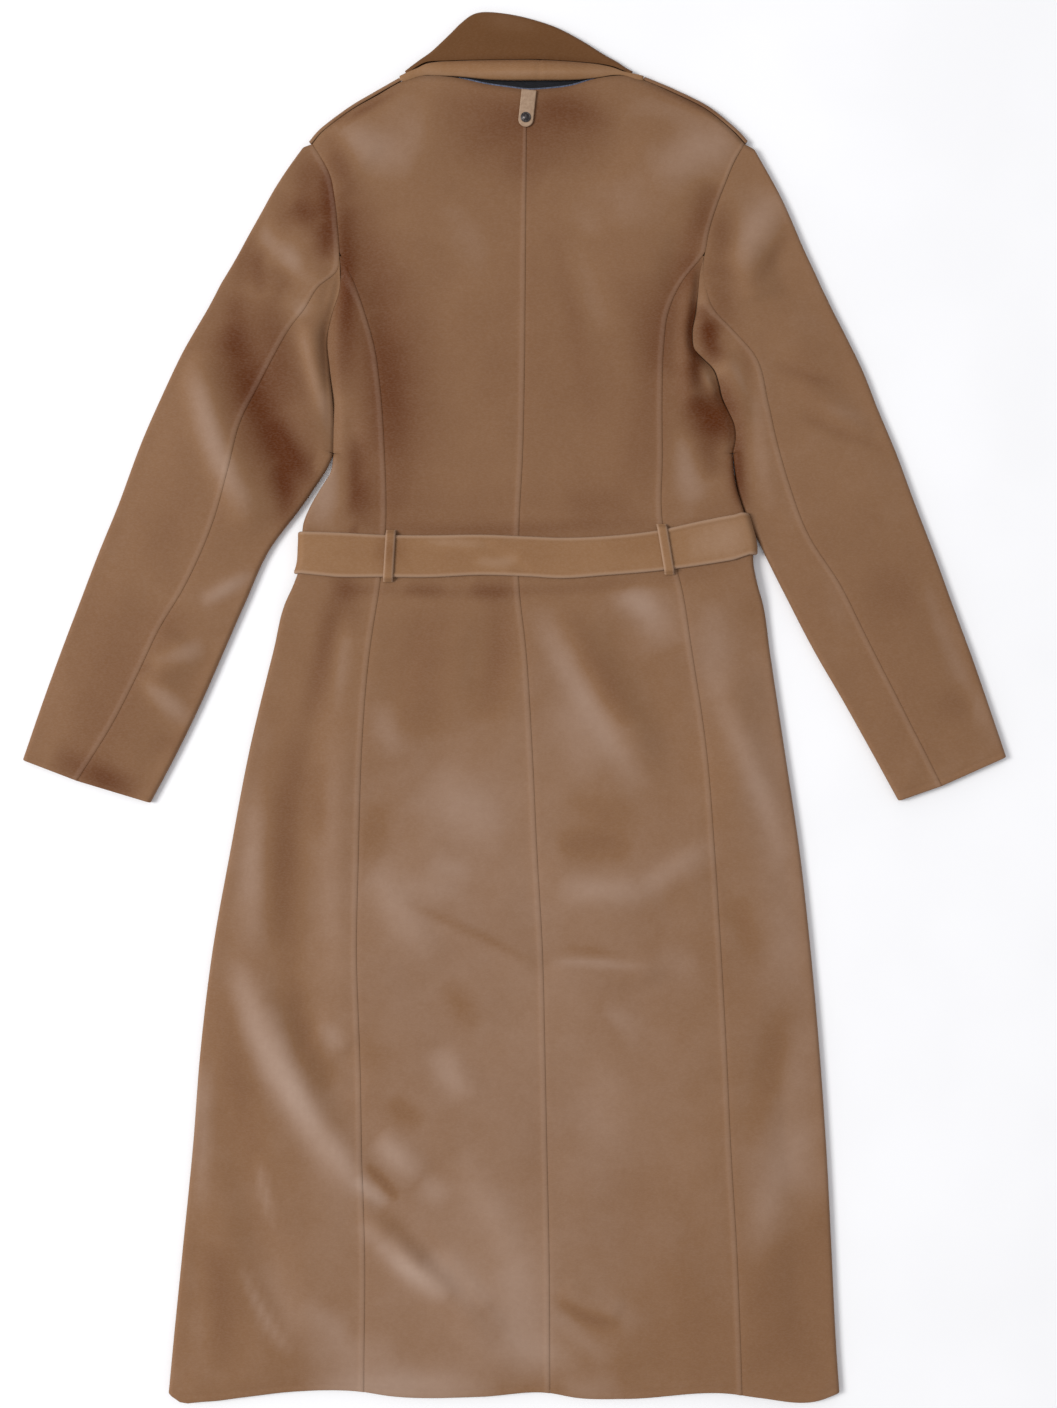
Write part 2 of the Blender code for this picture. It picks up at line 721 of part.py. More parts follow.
def side_back(side):
    outward = OUTWARD[side]
    half = SEAM_GAP / 2
    start = beside(princess_line(side, BODY_LEVELS), outward * half)
    edge = beside(body_edge(side, BODY_LEVELS), -outward * half)
    finish = beside(side_seam(side, BODY_LEVELS), outward * half)
    spots, heights, out = folded_rows(start, edge, finish, SIDE_CELLS, "body")
    joined = len(SIDE_LEVELS) - 1
    opened = ease((SIDE_LEVELS[:joined] - UNDERARM) / UNDERARM_OPENS)[:, None, None]
    flat = mixed(start[:joined], edge[:joined], np.linspace(0, 1, SIDE_CELLS[0] + 1))
    top = slice(0, SIDE_CELLS[0] + 1)
    spots[:joined, top] = flat * opened + spots[:joined, top] * (1 - opened)
    heights[:joined, top] = top_middle(spots[:joined, top])
    spots = with_hem(spots)
    cells = np.ones((len(BODY_LEVELS) - 1, sum(SIDE_CELLS)), bool)
    cells[:joined, SIDE_CELLS[0] :] = False
    return wall(np.concatenate([spots, heights[..., None]], axis=-1), out, cells, CLOTH)


def front_panel(side):
    """Underside panel, with the stretch of it that rolls over the shoulder."""
    outward = OUTWARD[side]
    half = SEAM_GAP / 2
    outer = beside(side_seam(side, BODY_LEVELS), -outward * half)
    free = front_edge(side, BODY_LEVELS)
    shares = np.linspace(0, 1, FRONT_CELLS + 1)
    level = mixed(outer, free, shares)
    armhole = beside(join_line(side, CAP_LEVELS), -outward * half)[::-1]
    armhole[0] = outer[0]
    shoulder = with_halves(SHOULDERS[side])
    crease = shoulder[:, :2]
    fold = shoulder[:, 2:]
    out = (fold - crease) / np.linalg.norm(fold - crease, axis=1, keepdims=True)
    radius = (EDGE_MIDDLE - BOTTOM_MIDDLE) / 2
    centre = fold - out * (radius + CLOTH / 2)
    neck_levels = np.linspace(APEX, FRONT_EDGE[-1, 0], len(CAP_LEVELS))
    neck = front_edge(side, neck_levels)
    neck[0] = level[0, -1]
    armhole[-1] = centre[0]
    neck[-1] = centre[-1]
    chest = coons(level[0], centre, armhole, neck)
    spots = np.concatenate([chest[::-1], with_hem(level[1:], FRONT_HEM_SHORT)])
    heights = bottom_middle(spots)
    if side == "left":
        heights = heights + front_climb(spots)
    turn = np.linspace(np.pi / 2, -np.pi / 2, SHOULDER_TURNS + 1)[:-1]
    bend = centre + radius * np.cos(turn)[:, None, None] * out
    bend_heights = BOTTOM_MIDDLE + radius + radius * np.sin(turn)[:, None] * np.ones(len(centre))
    spots = np.concatenate([bend, spots])
    heights = np.concatenate([bend_heights, heights])
    outward_way = np.zeros(spots.shape[:2] + (3,))
    outward_way[:, :, 2] = -1
    outward_way[: len(turn), :, :2] = np.cos(turn)[:, None, None] * out
    outward_way[: len(turn), :, 2] = np.sin(turn)[:, None]
    cells = np.ones((spots.shape[0] - 1, spots.shape[1] - 1), bool)
    return wall(np.concatenate([spots, heights[..., None]], axis=-1), outward_way, cells, CLOTH)


def sleeve_levels(side):
    free = np.linspace(UNDERARM, SLEEVES[side][0, 0], SLEEVE_ROWS + 1)
    return np.concatenate([CAP_LEVELS[:-1], SIDE_LEVELS[:-1], free])


def top_sleeve(side):
    _, seam, outer = sleeve_lines(side, sleeve_levels(side))
    start = beside(seam, OUTWARD[side] * SEAM_GAP / 2)
    spots, heights, out = folded_rows(start, outer, start, TOP_SLEEVE_CELLS, "sleeve")
    cells = np.ones((len(spots) - 1, sum(TOP_SLEEVE_CELLS)), bool)
    return wall(np.concatenate([spots, heights[..., None]], axis=-1), out, cells, CLOTH)


def under_sleeve(side):
    outward = OUTWARD[side]
    half = SEAM_GAP / 2
    levels = sleeve_levels(side)
    inner, seam, _ = sleeve_lines(side, levels)
    kept = levels <= SEAM_START
    joined = int(np.sum(kept & (levels > UNDERARM)))
    start = beside(seam, -outward * half)[kept]
    edge = beside(inner, outward * half)[kept]
    spots, heights, out = folded_rows(start, edge, start, UNDER_SLEEVE_CELLS, "sleeve")
    top_cells, _, bottom_cells = UNDER_SLEEVE_CELLS
    top = slice(0, top_cells + 1)
    bottom = slice(-bottom_cells - 1, None)
    opened = ease((levels[kept][:joined] - UNDERARM) / UNDERARM_OPENS)[:, None, None]
    for part, count, turned in ((top, top_cells, 1), (bottom, bottom_cells, -1)):
        flat = mixed(start[:joined], edge[:joined], np.linspace(0, 1, count + 1))[:, ::turned]
        spots[:joined, part] = flat * opened + spots[:joined, part] * (1 - opened)
    heights[:joined, top] = top_middle(spots[:joined, top], "sleeve")
    cells = np.ones((len(spots) - 1, sum(UNDER_SLEEVE_CELLS)), bool)
    cells[:joined, top_cells:-bottom_cells] = False
    return wall(np.concatenate([spots, heights[..., None]], axis=-1), out, cells, CLOTH)


def collar():
    """The turned-up fall: its showing face, its outer fold and the layer under it, tucked below the band."""
    start = COLLAR[:, :2]
    edge = COLLAR[:, 2:]
    along = np.linspace(0, 1, len(start))
    tuck = COLLAR_END_TUCK + (COLLAR_TUCK - COLLAR_END_TUCK) * ease(np.minimum(along, 1 - along) / COLLAR_TAPER)
    finish = start.copy()
    finish[:, 1] -= tuck
    spots, heights, out = folded_rows(start, edge, finish, COLLAR_CELLS, "collar")
    cells = np.ones((len(spots) - 1, sum(COLLAR_CELLS)), bool)
    return wall(np.concatenate([spots, heights[..., None]], axis=-1), out, cells, CLOTH)


def collar_band():
    """The rolled band at the collar's foot, an arch along the neck."""
    across = np.linspace(BAND[0, 0], BAND[-1, 0], BAND_CELLS[0] + 1)
    low = pairs(across, smooth(BAND, across, 1))
    high = pairs(across, smooth(BAND, across, 2))
    s = np.linspace(0, 1, BAND_CELLS[1] + 1)
    spots = mixed(low, high, s)
    wide = (high - low)[:, 1]
    arch = BAND_HIGH * (wide / wide.max()) ** 2
    heights = top_middle(spots, "collar") + arch[:, None] * np.sin(np.pi * s)
    slope = np.gradient(heights, axis=1) / np.gradient(spots[..., 1], axis=1)
    outward = np.stack([np.zeros_like(slope), -slope, np.ones_like(slope)], axis=-1)
    outward /= np.linalg.norm(outward, axis=-1, keepdims=True)
    cells = np.ones((spots.shape[0] - 1, spots.shape[1] - 1), bool)
    return wall(np.concatenate([spots, heights[..., None]], axis=-1), outward, cells, CLOTH)


def neck_lining():
    """The dark strip that shows in the open neck, under the back's neck edge."""
    across = np.linspace(*LINING_ACROSS, LINING_CELLS[0] + 1)
    neckline = np.vstack([NECK_LEFT, NECK_RIGHT[-2::-1]])
    low = pairs(across, smooth(neckline, across) - LINING_TUCK)
    high = pairs(across, np.full(len(across), LINING_TOP))
    spots = mixed(low, high, np.linspace(0, 1, LINING_CELLS[1] + 1))
    below = CLOTH / 2 + TAB_GAP + LINING / 2
    return flat_wall(spots, top_middle(spots) - below, LINING)


def belt_row(across, height, out=0.0, rise=1.0, up=None):
    """One row over the belt's width: each point's place and the way that its outer face looks."""
    shares = np.linspace(0, 1, BELT_CELLS + 1)
    across = np.broadcast_to(across, len(shares))
    if up is None:
        up = smooth(BELT, across, 1) * (1 - shares) + smooth(BELT, across, 2) * shares
    return [(x, y, height, out, 0.0, rise) for x, y in zip(across, up)]


def belt_half(side, back_height):
    """The belt's rows from its end under the fronts to where it lies on the back."""
    outward = OUTWARD[side]
    station = BELT[0 if side == "left" else -1, 0]
    up = np.array(belt_row(station, 0.0))[:, 1]
    fold_out = (EDGE_MIDDLE - BOTTOM_MIDDLE) / 2 + CLOTH / 2
    centre = body_edge(side, up[::-1])[::-1, 0] - outward * fold_out
    end = FRONT_CENTRE + outward * BELT_END_GAP / 2
    radius = (back_height - BELT_THICK / 2) / 2
    rows = []
    for share in np.linspace(0, 1, BELT_FRONT_CELLS + 1)[:-1]:
        rows.append(belt_row(end * (1 - share) + centre * share, BELT_THICK / 2, rise=-1.0))
    for angle in np.linspace(-np.pi / 2, np.pi / 2, BELT_TURNS + 1):
        out = outward * np.cos(angle)
        height = BELT_THICK / 2 + radius + radius * np.sin(angle)
        rows.append(belt_row(centre + radius * out, height, out, np.sin(angle), up))
    return rows


def belt():
    """A closed strip round the waist: under the fronts, round both sides and across the back."""
    height = EDGE_MIDDLE + BELT_LIFT + CLOTH / 2 + LAY_GAP + BELT_THICK / 2
    stations = np.linspace(BELT[1, 0], BELT[-2, 0], BELT_BACK_CELLS + 1)
    back = [belt_row(across, height) for across in stations]
    grid = np.array(belt_half("left", height) + back + belt_half("right", height)[::-1])
    cells = np.ones((grid.shape[0] - 1, grid.shape[1] - 1), bool)
    return wall(grid[..., :3], grid[..., 3:], cells, BELT_THICK)


def belt_loop(side):
    """A strap sewn above and below the belt that stands over it."""
    top_across, top_up, bottom_across, bottom_up = LOOPS[side]
    middle_across = (top_across + bottom_across) / 2
    upper = smooth(BELT, middle_across, 2)
    lower = smooth(BELT, middle_across, 1)
    low = EDGE_MIDDLE + BELT_LIFT + CLOTH / 2 + LAY_GAP + CLOTH / 2
    high = low + BELT_THICK + LAY_GAP
    clear = LAY_GAP * 2 + CLOTH / 2
    path = (
        (upper + LOOP_FOOT, low, 0, 1),
        (upper + clear, low, 1, 1),
        (upper + clear, high, 1, 1),
        (lower - clear, high, -1, 1),
        (lower - clear, low, -1, 1),
        (lower - LOOP_FOOT, low, 0, 1),
    )
    rows = []
    for up, height, way_up, way_out in path:
        share = (up - bottom_up) / (top_up - bottom_up)
        across = bottom_across + (top_across - bottom_across) * share
        reaches = across + LOOP_WIDTH / 2 * np.array([-1, 0, 1])
        rows.append([(reach, up, height, 0, way_up, way_out) for reach in reaches])
    grid = np.array(rows, float)
    cells = np.ones((grid.shape[0] - 1, grid.shape[1] - 1), bool)
    return wall(grid[..., :3], grid[..., 3:], cells, CLOTH)


def tab_height(spots):
    return top_middle(spots) + CLOTH / 2 + TAB_GAP + TAB_THICK / 2


def neck_tab():
    """A short strap with a round end that hangs from the nape over the centre back seam."""
    aside = np.array([-TAB_RUN[1], TAB_RUN[0]])
    half = TAB_WIDTH / 2
    straight = np.linspace(0, TAB_LENGTH - half, len(TAB_END_TURNS))
    run = np.concatenate([straight, straight[-1] + half * np.sin(TAB_END_TURNS[1:])])
    reach = half * np.concatenate([np.ones(len(straight)), np.cos(TAB_END_TURNS[1:])])
    along = TAB_TOP + run[:, None] * TAB_RUN
    spots = np.stack([along + side * reach[:, None] * aside for side in (-1, 0, 1)], axis=1)
    return flat_wall(spots, tab_height(spots), TAB_THICK)


def tab_snap():
    """The low dome of the press stud on the tab."""
    base = float(tab_height(SNAP_SPOT[None])[0]) + TAB_THICK / 2 + TAB_GAP
    mesh = bmesh.new()
    turns = np.linspace(0, 2 * np.pi, SNAP_SIDES + 1)[:-1]
    ring_spots = np.stack([np.cos(turns), np.sin(turns)], axis=-1) * SNAP_RADIUS
    sizes = [(1.0, base)]
    for angle in SNAP_TURNS:
        sizes.append((np.cos(angle), base + SNAP_HEIGHT * (SNAP_RIM + (1 - SNAP_RIM) * np.sin(angle))))
    rings = []
    for size, height in sizes:
        corners = SNAP_SPOT + size * ring_spots
        rings.append([mesh.verts.new((x * MM, y * MM, height * MM)) for x, y in corners])
    for below, above in zip(rings, rings[1:]):
        for k in range(SNAP_SIDES):
            following = (k + 1) % SNAP_SIDES
            mesh.faces.new((below[k], below[following], above[following], above[k]))
    mesh.faces.new(rings[0][::-1])
    mesh.faces.new(rings[-1])
    return mesh


def main():
    for old in list(bpy.data.objects):
        bpy.data.objects.remove(old)
    coat = bpy.data.objects.new("wrap_coat", None)
    bpy.context.scene.collection.objects.link(coat)
    for side in ("left", "right"):
        place(f"back_{side}", back_panel(side), "wool", coat)
        place(f"side_back_{side}", side_back(side), "wool", coat)
        place(f"front_{side}", front_panel(side), "wool", coat)
        place(f"top_sleeve_{side}", top_sleeve(side), "wool", coat)
        place(f"under_sleeve_{side}", under_sleeve(side), "wool", coat)
        place(f"belt_loop_{side}", belt_loop(side), "wool", coat)
    place("collar", collar(), "wool", coat)
    place("collar_band", collar_band(), "wool", coat)
    place("neck_lining", neck_lining(), "lining", coat)
    place("belt", belt(), "wool", coat)
    place("neck_tab", neck_tab(), "tab", coat)
    place("tab_snap", tab_snap(), "snap", coat)


main()
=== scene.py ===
"""Looks of the wrap coat, laid flat on its front: its cloth pieces as fine shells, their finishes, the stage.

Lengths are in millimetres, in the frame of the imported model, and become metres where a mesh is made.
Left and right are the wearer's, which are the viewer's too, because the coat is seen from behind.
"""

import bpy
import numpy as np
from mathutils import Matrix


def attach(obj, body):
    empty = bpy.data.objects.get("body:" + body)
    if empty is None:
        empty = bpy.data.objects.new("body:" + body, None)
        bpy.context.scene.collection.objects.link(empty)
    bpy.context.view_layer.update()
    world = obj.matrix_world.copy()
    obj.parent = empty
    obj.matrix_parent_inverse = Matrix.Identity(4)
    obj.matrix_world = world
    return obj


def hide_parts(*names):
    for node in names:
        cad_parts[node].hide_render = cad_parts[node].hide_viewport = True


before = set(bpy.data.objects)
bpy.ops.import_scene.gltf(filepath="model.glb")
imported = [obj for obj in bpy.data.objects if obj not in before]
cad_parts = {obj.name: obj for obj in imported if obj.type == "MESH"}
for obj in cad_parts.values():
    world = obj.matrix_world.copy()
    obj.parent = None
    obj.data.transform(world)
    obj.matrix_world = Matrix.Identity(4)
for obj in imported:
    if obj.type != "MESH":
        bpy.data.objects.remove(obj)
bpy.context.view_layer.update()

MM = 0.001

# Camera, straight above the coat as in the photo
VIEW_CENTRE = (12.6, 2.7)
VIEW_TALL = 1267.2
SENSOR = 36.0
LENS = 50.0
CLOTH_LEVEL = 7.0

# Cloth
CLOTH = 2.2
LINING = 1.0
SEAM_GAP = 0.04
LAY_GAP = 0.3
BOTTOM_MIDDLE = CLOTH / 2
EDGE_MIDDLE = 6.5
SWELL = 3.0
SWELL_REACH = 28.0
FOLD_FADE = 9.0
SOFT_FLOOR = 0.5
RIM_LEAST = 0.15

# How a fold fades to its ends, as shares of its length, and how many half widths it is worked out over
SOFT_FADE = 0.8
FOLD_TAPER = 0.25
FOLD_START = 0.25
FOLD_NEAR = 3.0

# Wrapped fronts and the seams under the coat
FRONT_STEP = CLOTH + LAY_GAP
FRONT_RAMP_FOOT = 78.0
FRONT_RAMP_TOP = 34.0
FRONT_HEM_SHORT = 2.0
SIDE_SEAM_INSET = 30.0
SIDE_SEAM_GROWN = 110.0
UNDERARM_INSET = 5.6
UNDERARM_OPENS = 0.7

# Belt, loops, tab, snap and the lining in the open neck
BELT_THICK = 3.5
BELT_LIFT = BELT_THICK + LAY_GAP
BELT_FLAT = 40.0
BELT_FADE = 40.0
BELT_END_GAP = 6.0
LOOP_WIDTH = 9.0
LOOP_FOOT = 4.0
TAB_TOP = np.array([13.1, 553.6])
TAB_RUN = np.array([-0.11, -0.994])
TAB_WIDTH = 13.5
TAB_LENGTH = 33.0
TAB_THICK = 2.0
TAB_GAP = 0.4
SNAP_SPOT = np.array([10.1, 529.2])
SNAP_RADIUS = 4.6
SNAP_HEIGHT = 2.2
LINING_ACROSS = (-56.0, 78.0)
LINING_TOP = 571.0
LINING_TUCK = 6.0

# Levels up the coat
CAP_TOP = 506.3
APEX = 405.0
SEAM_START = 402.5
UNDERARM = 228.0
HEM = -617.4
HEM_REACH = 60.0

# up the coat, left princess seam, centre back seam, right princess seam
SEAMS = np.array([
    (-617.4, -135.5, 31.9, 204.8), (-489, -134.6, 31.1, 199.8), (-399, -137.2, 29.2, 194.5),
    (-309, -139.1, 27.4, 190.4), (-219, -141.8, 25.2, 185.6), (-129, -140, 20.2, 179.8),
    (-39, -137.2, 16, 172.6), (51, -130.1, 10.4, 159.3), (112, -120.6, 4, 149), (160, -115.7, 4.1, 133.9),
    (228, -116.8, 7.4, 132.9), (290, -121, 8.8, 132.8), (325, -126.2, 9.3, 134.2),
    (355, -134.8, 9.5, 138.3), (382, -144.5, 9.8, 150.5), (405, -155.6, 9.9, 168.8),
    (554.4, -155.6, 11.2, 168.8),
])

# up the coat, across: right armhole, then the line where sleeve and body lie side by side
JOIN_RIGHT = np.array([
    (228, 196.7), (242, 199.3), (255, 197.6), (265, 193.1), (279, 186.8), (291, 184.1), (305, 178.7),
    (314, 169.7), (322, 162), (334, 159.8), (354, 162.5), (375, 165.2), (394, 167.3), (405, 170.5),
    (429, 175.1), (449, 181.3), (472.5, 190.3), (492, 198.5), (506.3, 207),
])

# up the coat, left side fold, right side fold
SIDES = np.array([
    (-617.4, -311.9, 292.9), (-579, -308.2, 290.2), (-489, -299.2, 285.8), (-399, -290.2, 281.2),
    (-309, -283.1, 274.9), (-219, -272.2, 266.9), (-129, -256.1, 256.9), (-39, -239, 243.5),
    (51, -217.3, 230), (92, -207, 224), (111, -198.5, 218.5), (129, -192.5, 215), (147, -191.2, 214.5),
    (165, -190, 210), (183, -182.5, 204.1), (198, -174, 199.6), (212, -165.8, 197.7), (228, -163.3, 196.7),
])

# inner edge up and across, back seam across and up, outer fold across and up
SLEEVE_LEFT = np.array([
    (-86.4, -328.1, -393.8, -66.6, -443.2, -47.7), (-38.7, -302.9, -362.2, -17.1, -425.2, 4.5),
    (6.3, -281.2, -338.9, 27.9, -408.2, 51.3), (51.3, -261.4, -319.1, 70.2, -391.1, 96.3),
    (96.3, -241.7, -294.8, 111.6, -374.9, 138.6), (141.3, -221, -272.2, 162, -356.9, 182.7),
    (186.3, -187.7, -256.9, 213.3, -336.2, 238.5), (228, -163.3, -247.1, 253.8, -317.2, 281.7),
    (269, -163.3, -231.8, 286.2, -300, 318), (305, -167, -216.5, 315, -287, 341),
    (331, -168.8, -202.1, 340.2, -277, 358), (354, -164.2, -188.6, 358.2, -270, 371),
    (375, -157.6, -176.8, 377.1, -264.5, 381.6), (394, -157, -158.8, 393.6, -257, 394),
    (405, -157.3, -157.3, 405, -251.6, 403.2), (431, -158.9, -158.9, 431, -239.8, 424.8),
    (458, -161.6, -161.6, 458, -227.2, 447.3), (479, -166.1, -166.1, 479, -215.6, 468),
    (497, -175.8, -175.8, 497, -202, 488.5), (506.3, -182, -182, 506.3, -191.5, 503),
])
SLEEVE_RIGHT = np.array([
    (-84.6, 346.1, 384.8, -71.1, 443.2, -45), (-38.7, 320.9, 362.2, -27, 429.8, -5.4),
    (6.3, 295.7, 338.9, 18.9, 412.7, 44.1), (51.3, 269.6, 315.4, 64.8, 394.7, 92.7),
    (96.3, 246.2, 292.9, 109.8, 378.4, 137.7), (143.1, 222.8, 264.2, 154.8, 360.4, 184.5),
    (188.1, 202.4, 247.1, 199.8, 343.4, 230.4), (228, 196.7, 235.3, 240.3, 327.2, 269.1),
    (265, 193.1, 228, 273, 314.5, 301.5), (305, 178.7, 217.3, 314.1, 297.5, 336.6),
    (334, 159.8, 196.7, 338.4, 287, 357), (354, 162.5, 179.6, 356.4, 281, 369.5),
    (375, 165.2, 172.4, 373.6, 276.3, 379), (394, 167.3, 169.2, 393.4, 272.3, 388),
    (405, 170.5, 170.5, 405, 268.3, 396.5), (429, 175.1, 175.1, 429, 259.7, 414.9),
    (449, 181.3, 181.3, 449, 249.8, 438.3), (472.5, 190.3, 190.3, 472.5, 239, 461.7),
    (492, 198.5, 198.5, 492, 226.5, 484.5), (506.3, 207, 207, 506.3, 217, 501),
])

# crease across and up, fold across and up, from the shoulder point to the neck
SHOULDER_LEFT = np.array([
    (-182, 506.3, -185.3, 509.6), (-171.2, 518.9, -174.2, 522), (-146.7, 537, -149, 540.9),
    (-124, 549.8, -127, 554), (-101.5, 562.6, -104.5, 566.9),
])
SHOULDER_RIGHT = np.array([
    (207, 506.3, 210.2, 510.3), (195.9, 518.5, 199.3, 521.8), (173, 537.1, 175.1, 541.2),
    (143, 552.2, 144.7, 556.6), (115.8, 563.9, 117.5, 568.1),
])

# across, up: the back neck edge from each neck point to the nape
NECK_LEFT = np.array([(-80.5, 568.0), (-53.6, 566.2), (-25.7, 559.8), (-1.4, 556.0), (11.2, 554.4)])
NECK_RIGHT = np.array([(98.5, 568.0), (74.0, 564.8), (50.9, 558.0), (31.1, 555.3), (11.2, 554.4)])

# up, across: free edge of the left front. The right front's is its mirror image about FRONT_CENTRE
FRONT_EDGE = np.array([
    (-617.4, 106), (150, 96), (250, 82), (350, 35), (450, -30), (561, -97.5),
])
FRONT_CENTRE = 9.0

# across, up: hem
HEM_LINE = np.array([
    (-311.9, -617.4), (-304, -624.2), (-280.4, -625.3), (-240.8, -621), (-202, -616.5), (-137.2, -616.5),
    (-113.9, -620.1), (-31.1, -621), (30.2, -617.4), (56.2, -621.9), (99.5, -622.8), (194, -618.3),
    (220, -621.9), (274, -624.4), (292.9, -617.4),
])

# across, lower edge, upper edge
BAND = np.array([
    (-103.4, 564.2, 567.4), (-99, 563.4, 569.4), (-95, 564.6, 571.4), (-88, 567.1, 574.2),
    (-80, 568.9, 578), (-70, 568.8, 579.8), (-53, 568, 580.5), (-22, 564.6, 580.8), (25, 563.6, 580.4),
    (61, 564.6, 578.6), (76, 566.4, 577.2), (90, 568.6, 574.2), (98, 568.4, 571.4), (103, 567.2, 570.4),
    (109, 565.2, 569.2), (116.2, 563.8, 567.4),
])
BAND_HIGH = 6.0

# foot across and up, outer fold across and up
COLLAR = np.array([
    (-97.2, 571.4, -98.8, 573.2), (-89.4, 575.5, -91.8, 578.6), (-80.5, 580.2, -84.5, 584),
    (-72, 581.4, -74, 591.6), (-57, 581.8, -58.1, 606.6), (-46, 582, -48.1, 616.5),
    (-34, 582, -37.4, 624.2), (-20, 582, -25, 626.4), (0, 582, -5, 624.4), (18, 582, 15, 620),
    (38, 581.2, 38, 612.3), (58, 580.2, 60, 600.8), (78, 578.6, 80, 588.4), (90, 576.2, 92.2, 581.6),
    (98.3, 572.9, 100.5, 576), (105.4, 571.2, 106.6, 572.8),
])
COLLAR_TUCK = 22.0
COLLAR_END_TUCK = 3.0
COLLAR_TAPER = 0.2

# across, lower edge, upper edge
BELT = np.array([
    (-196, 119.8, 157.5), (-160, 116.6, 156.6), (-118, 116.5, 154.5), (-79, 116.2, 154),
    (-28, 118.3, 154.6), (13, 117, 153), (41, 115.4, 151.9), (81, 118, 153.2), (128, 122, 158.4),
    (170, 127.5, 167.4), (197, 132, 172.5), (218, 136.8, 174.5),
])

# top end across and up, bottom end across and up
LOOPS = {
    "left": (-110.7, 157.5, -113.4, 112.5),
    "right": (131.9, 162.9, 139.5, 117.0),
}

# Largest folds, by the pieces they lie on: start, middle and end, each across and up, then half width, height
FOLDS = {
    "body": (
        (-166, 105, -193, -39, -186, -264, 24, -3.5), (-104, 112, -103, 60, -110, 0, 21, -3),
        (-24, 110, -22, 60, -28, 6, 19, -3), (34, 96, 80, 29, 120, -60, 18, 3),
        (78, 84, 120, 14, 152, -76, 20, -1.5), (190, 40, 200, -30, 204, -95, 25, 2.5),
        (22, -140, 100, -158, 186, -148, 26, 2.5), (-67, -190, -18, -214, 26, -232, 11, 1.5),
        (28, -236, 82, -243, 134, -236, 10, 2.2), (-240, -232, -195, -338, -130, -434, 17, 4),
        (-132, -448, -84, -505, -12, -574, 15, 4), (-196, -255, -172, -310, -140, -352, 20, -3),
        (-128, -440, -98, -474, -60, -506, 12, -2.5), (-258, -350, -232, -470, -200, -566, 19, -3),
        (-180, -292, -166, -300, -150, -312, 24, 1.8), (40, -524, 70, -535, 98, -544, 12, 2),
        (248, -264, 252, -430, 258, -606, 22, -2.2), (-156, 508, -146, 496, -130, 482, 34, 1.6),
        (96, 500, 122, 474, 140, 440, 36, 1.6), (-85, 505, 16, 480, 122, 512, 32, -1.6),
        (-140, 425, -126, 378, -116, 318, 16, -2.2), (152, 436, 146, 405, 140, 372, 14, -2.2),
        (-146, 262, -146, 222, -146, 186, 9, -1.8), (163, 392, 155, 338, 160, 262, 8, 3),
        (170, 352, 176, 306, 190, 262, 12, -3.4),
    ),
    "all": (
        (-158, 396, -169, 331, -163, 214, 8, -2.8),
    ),
    "sleeve": (
        (-290, 326, -266, 240, -230, 155, 17, 4), (-249, 335, -222, 265, -190, 184, 18, -3),
        (-200, 240, -192, 212, -190, 186, 14, -1.5), (-182, 350, -176, 306, -160, 262, 9, 2.5),
        (-300, 66, -312, 42, -322, 14, 22, 2.6), (210, 420, 211, 390, 217, 362, 15, 2.6),
        (247, 416, 248, 392, 254, 368, 15, -2.2), (186, 322, 199, 290, 209, 250, 9, 2),
        (254, 296, 288, 268, 322, 240, 11, 1.3),
    ),
}

OUTWARD = {"left": -1, "right": 1}
# The left armhole and join are the upper rows of the left sleeve's inner edge
JOINS = {"left": SLEEVE_LEFT[7:, :2], "right": JOIN_RIGHT}
SLEEVES = {"left": SLEEVE_LEFT, "right": SLEEVE_RIGHT}
SHOULDERS = {"left": SHOULDER_LEFT, "right": SHOULDER_RIGHT}
NECKS = {"left": NECK_LEFT, "right": NECK_RIGHT}

# Columns of the tables of side folds and seams
SIDE_COLUMN = {"left": 1, "right": 2}
PRINCESS = {"left": 1, "right": 3}
CENTRE_BACK = 2

# Fineness of the shells
ROW_STEP = 4.0
SIDE_STEP = 3.0
UNDERARM_ROW = 0.8
SEAM_ROOM = 2.6
SEAM_COLUMNS = np.array([0.0, 0.3, 0.7, 1.3, 2.1, 3.1, 4.2, 5.5, 7.2])
HEM_ROWS = np.array([0.0, 0.1, 0.3, 0.7, 1.2, 2.0, 3.0, 4.2, 5.6, 7.2, 9.0])
ROUND_CELLS = 8

# Seams: a narrow band of one panel lapped over the next one and felled down
LAP_HIGH = 0.36
LAP_RISE = 1.5
LAP_WIDE = 3.4
LAP_FALL = 2.6
UNDER_LOW = 0.22
UNDER_WIDE = 4.0

# Turned edges
TURN_WIDE = 5.5
TURN_HIGH = 0.2
TURN_GROOVE = 0.45
TURN_GROOVE_WIDE = 1.4
STITCH_WIDE = 1.2

# Joins between sleeve and body, where two folded edges press together
JOIN_LOW = 2.6
JOIN_WIDE = 5.0
NARROW = 16.0
UNDERSIDE_DIP = 0.3

# Cells across each piece
BACK_COLUMNS = 34
SIDE_COLUMNS = (24, 8)
FRONT_COLUMNS = 40
TOP_SLEEVE_COLUMNS = (26, 20)
UNDER_SLEEVE_COLUMNS = (20, 16)
COLLAR_ROWS = 72
COLLAR_COLUMNS = (14, 10)
BAND_ROWS = 84
BAND_COLUMNS = 16
BELT_COLUMNS = 10
BELT_SPREAD = 35.0
BELT_FRONT_ROWS = 40
BELT_BACK_ROWS = 150
BELT_TURNS = 12
LOOP_ROWS = 60
LOOP_COLUMNS = 12
LINING_ROWS = 60
LINING_COLUMNS = 12
TAB_ROWS = 20
TAB_TURNS = 13
TAB_COLUMNS = 14
SNAP_SIDES = 40
RIM_ROWS = 70
RIM_SIDES = 8

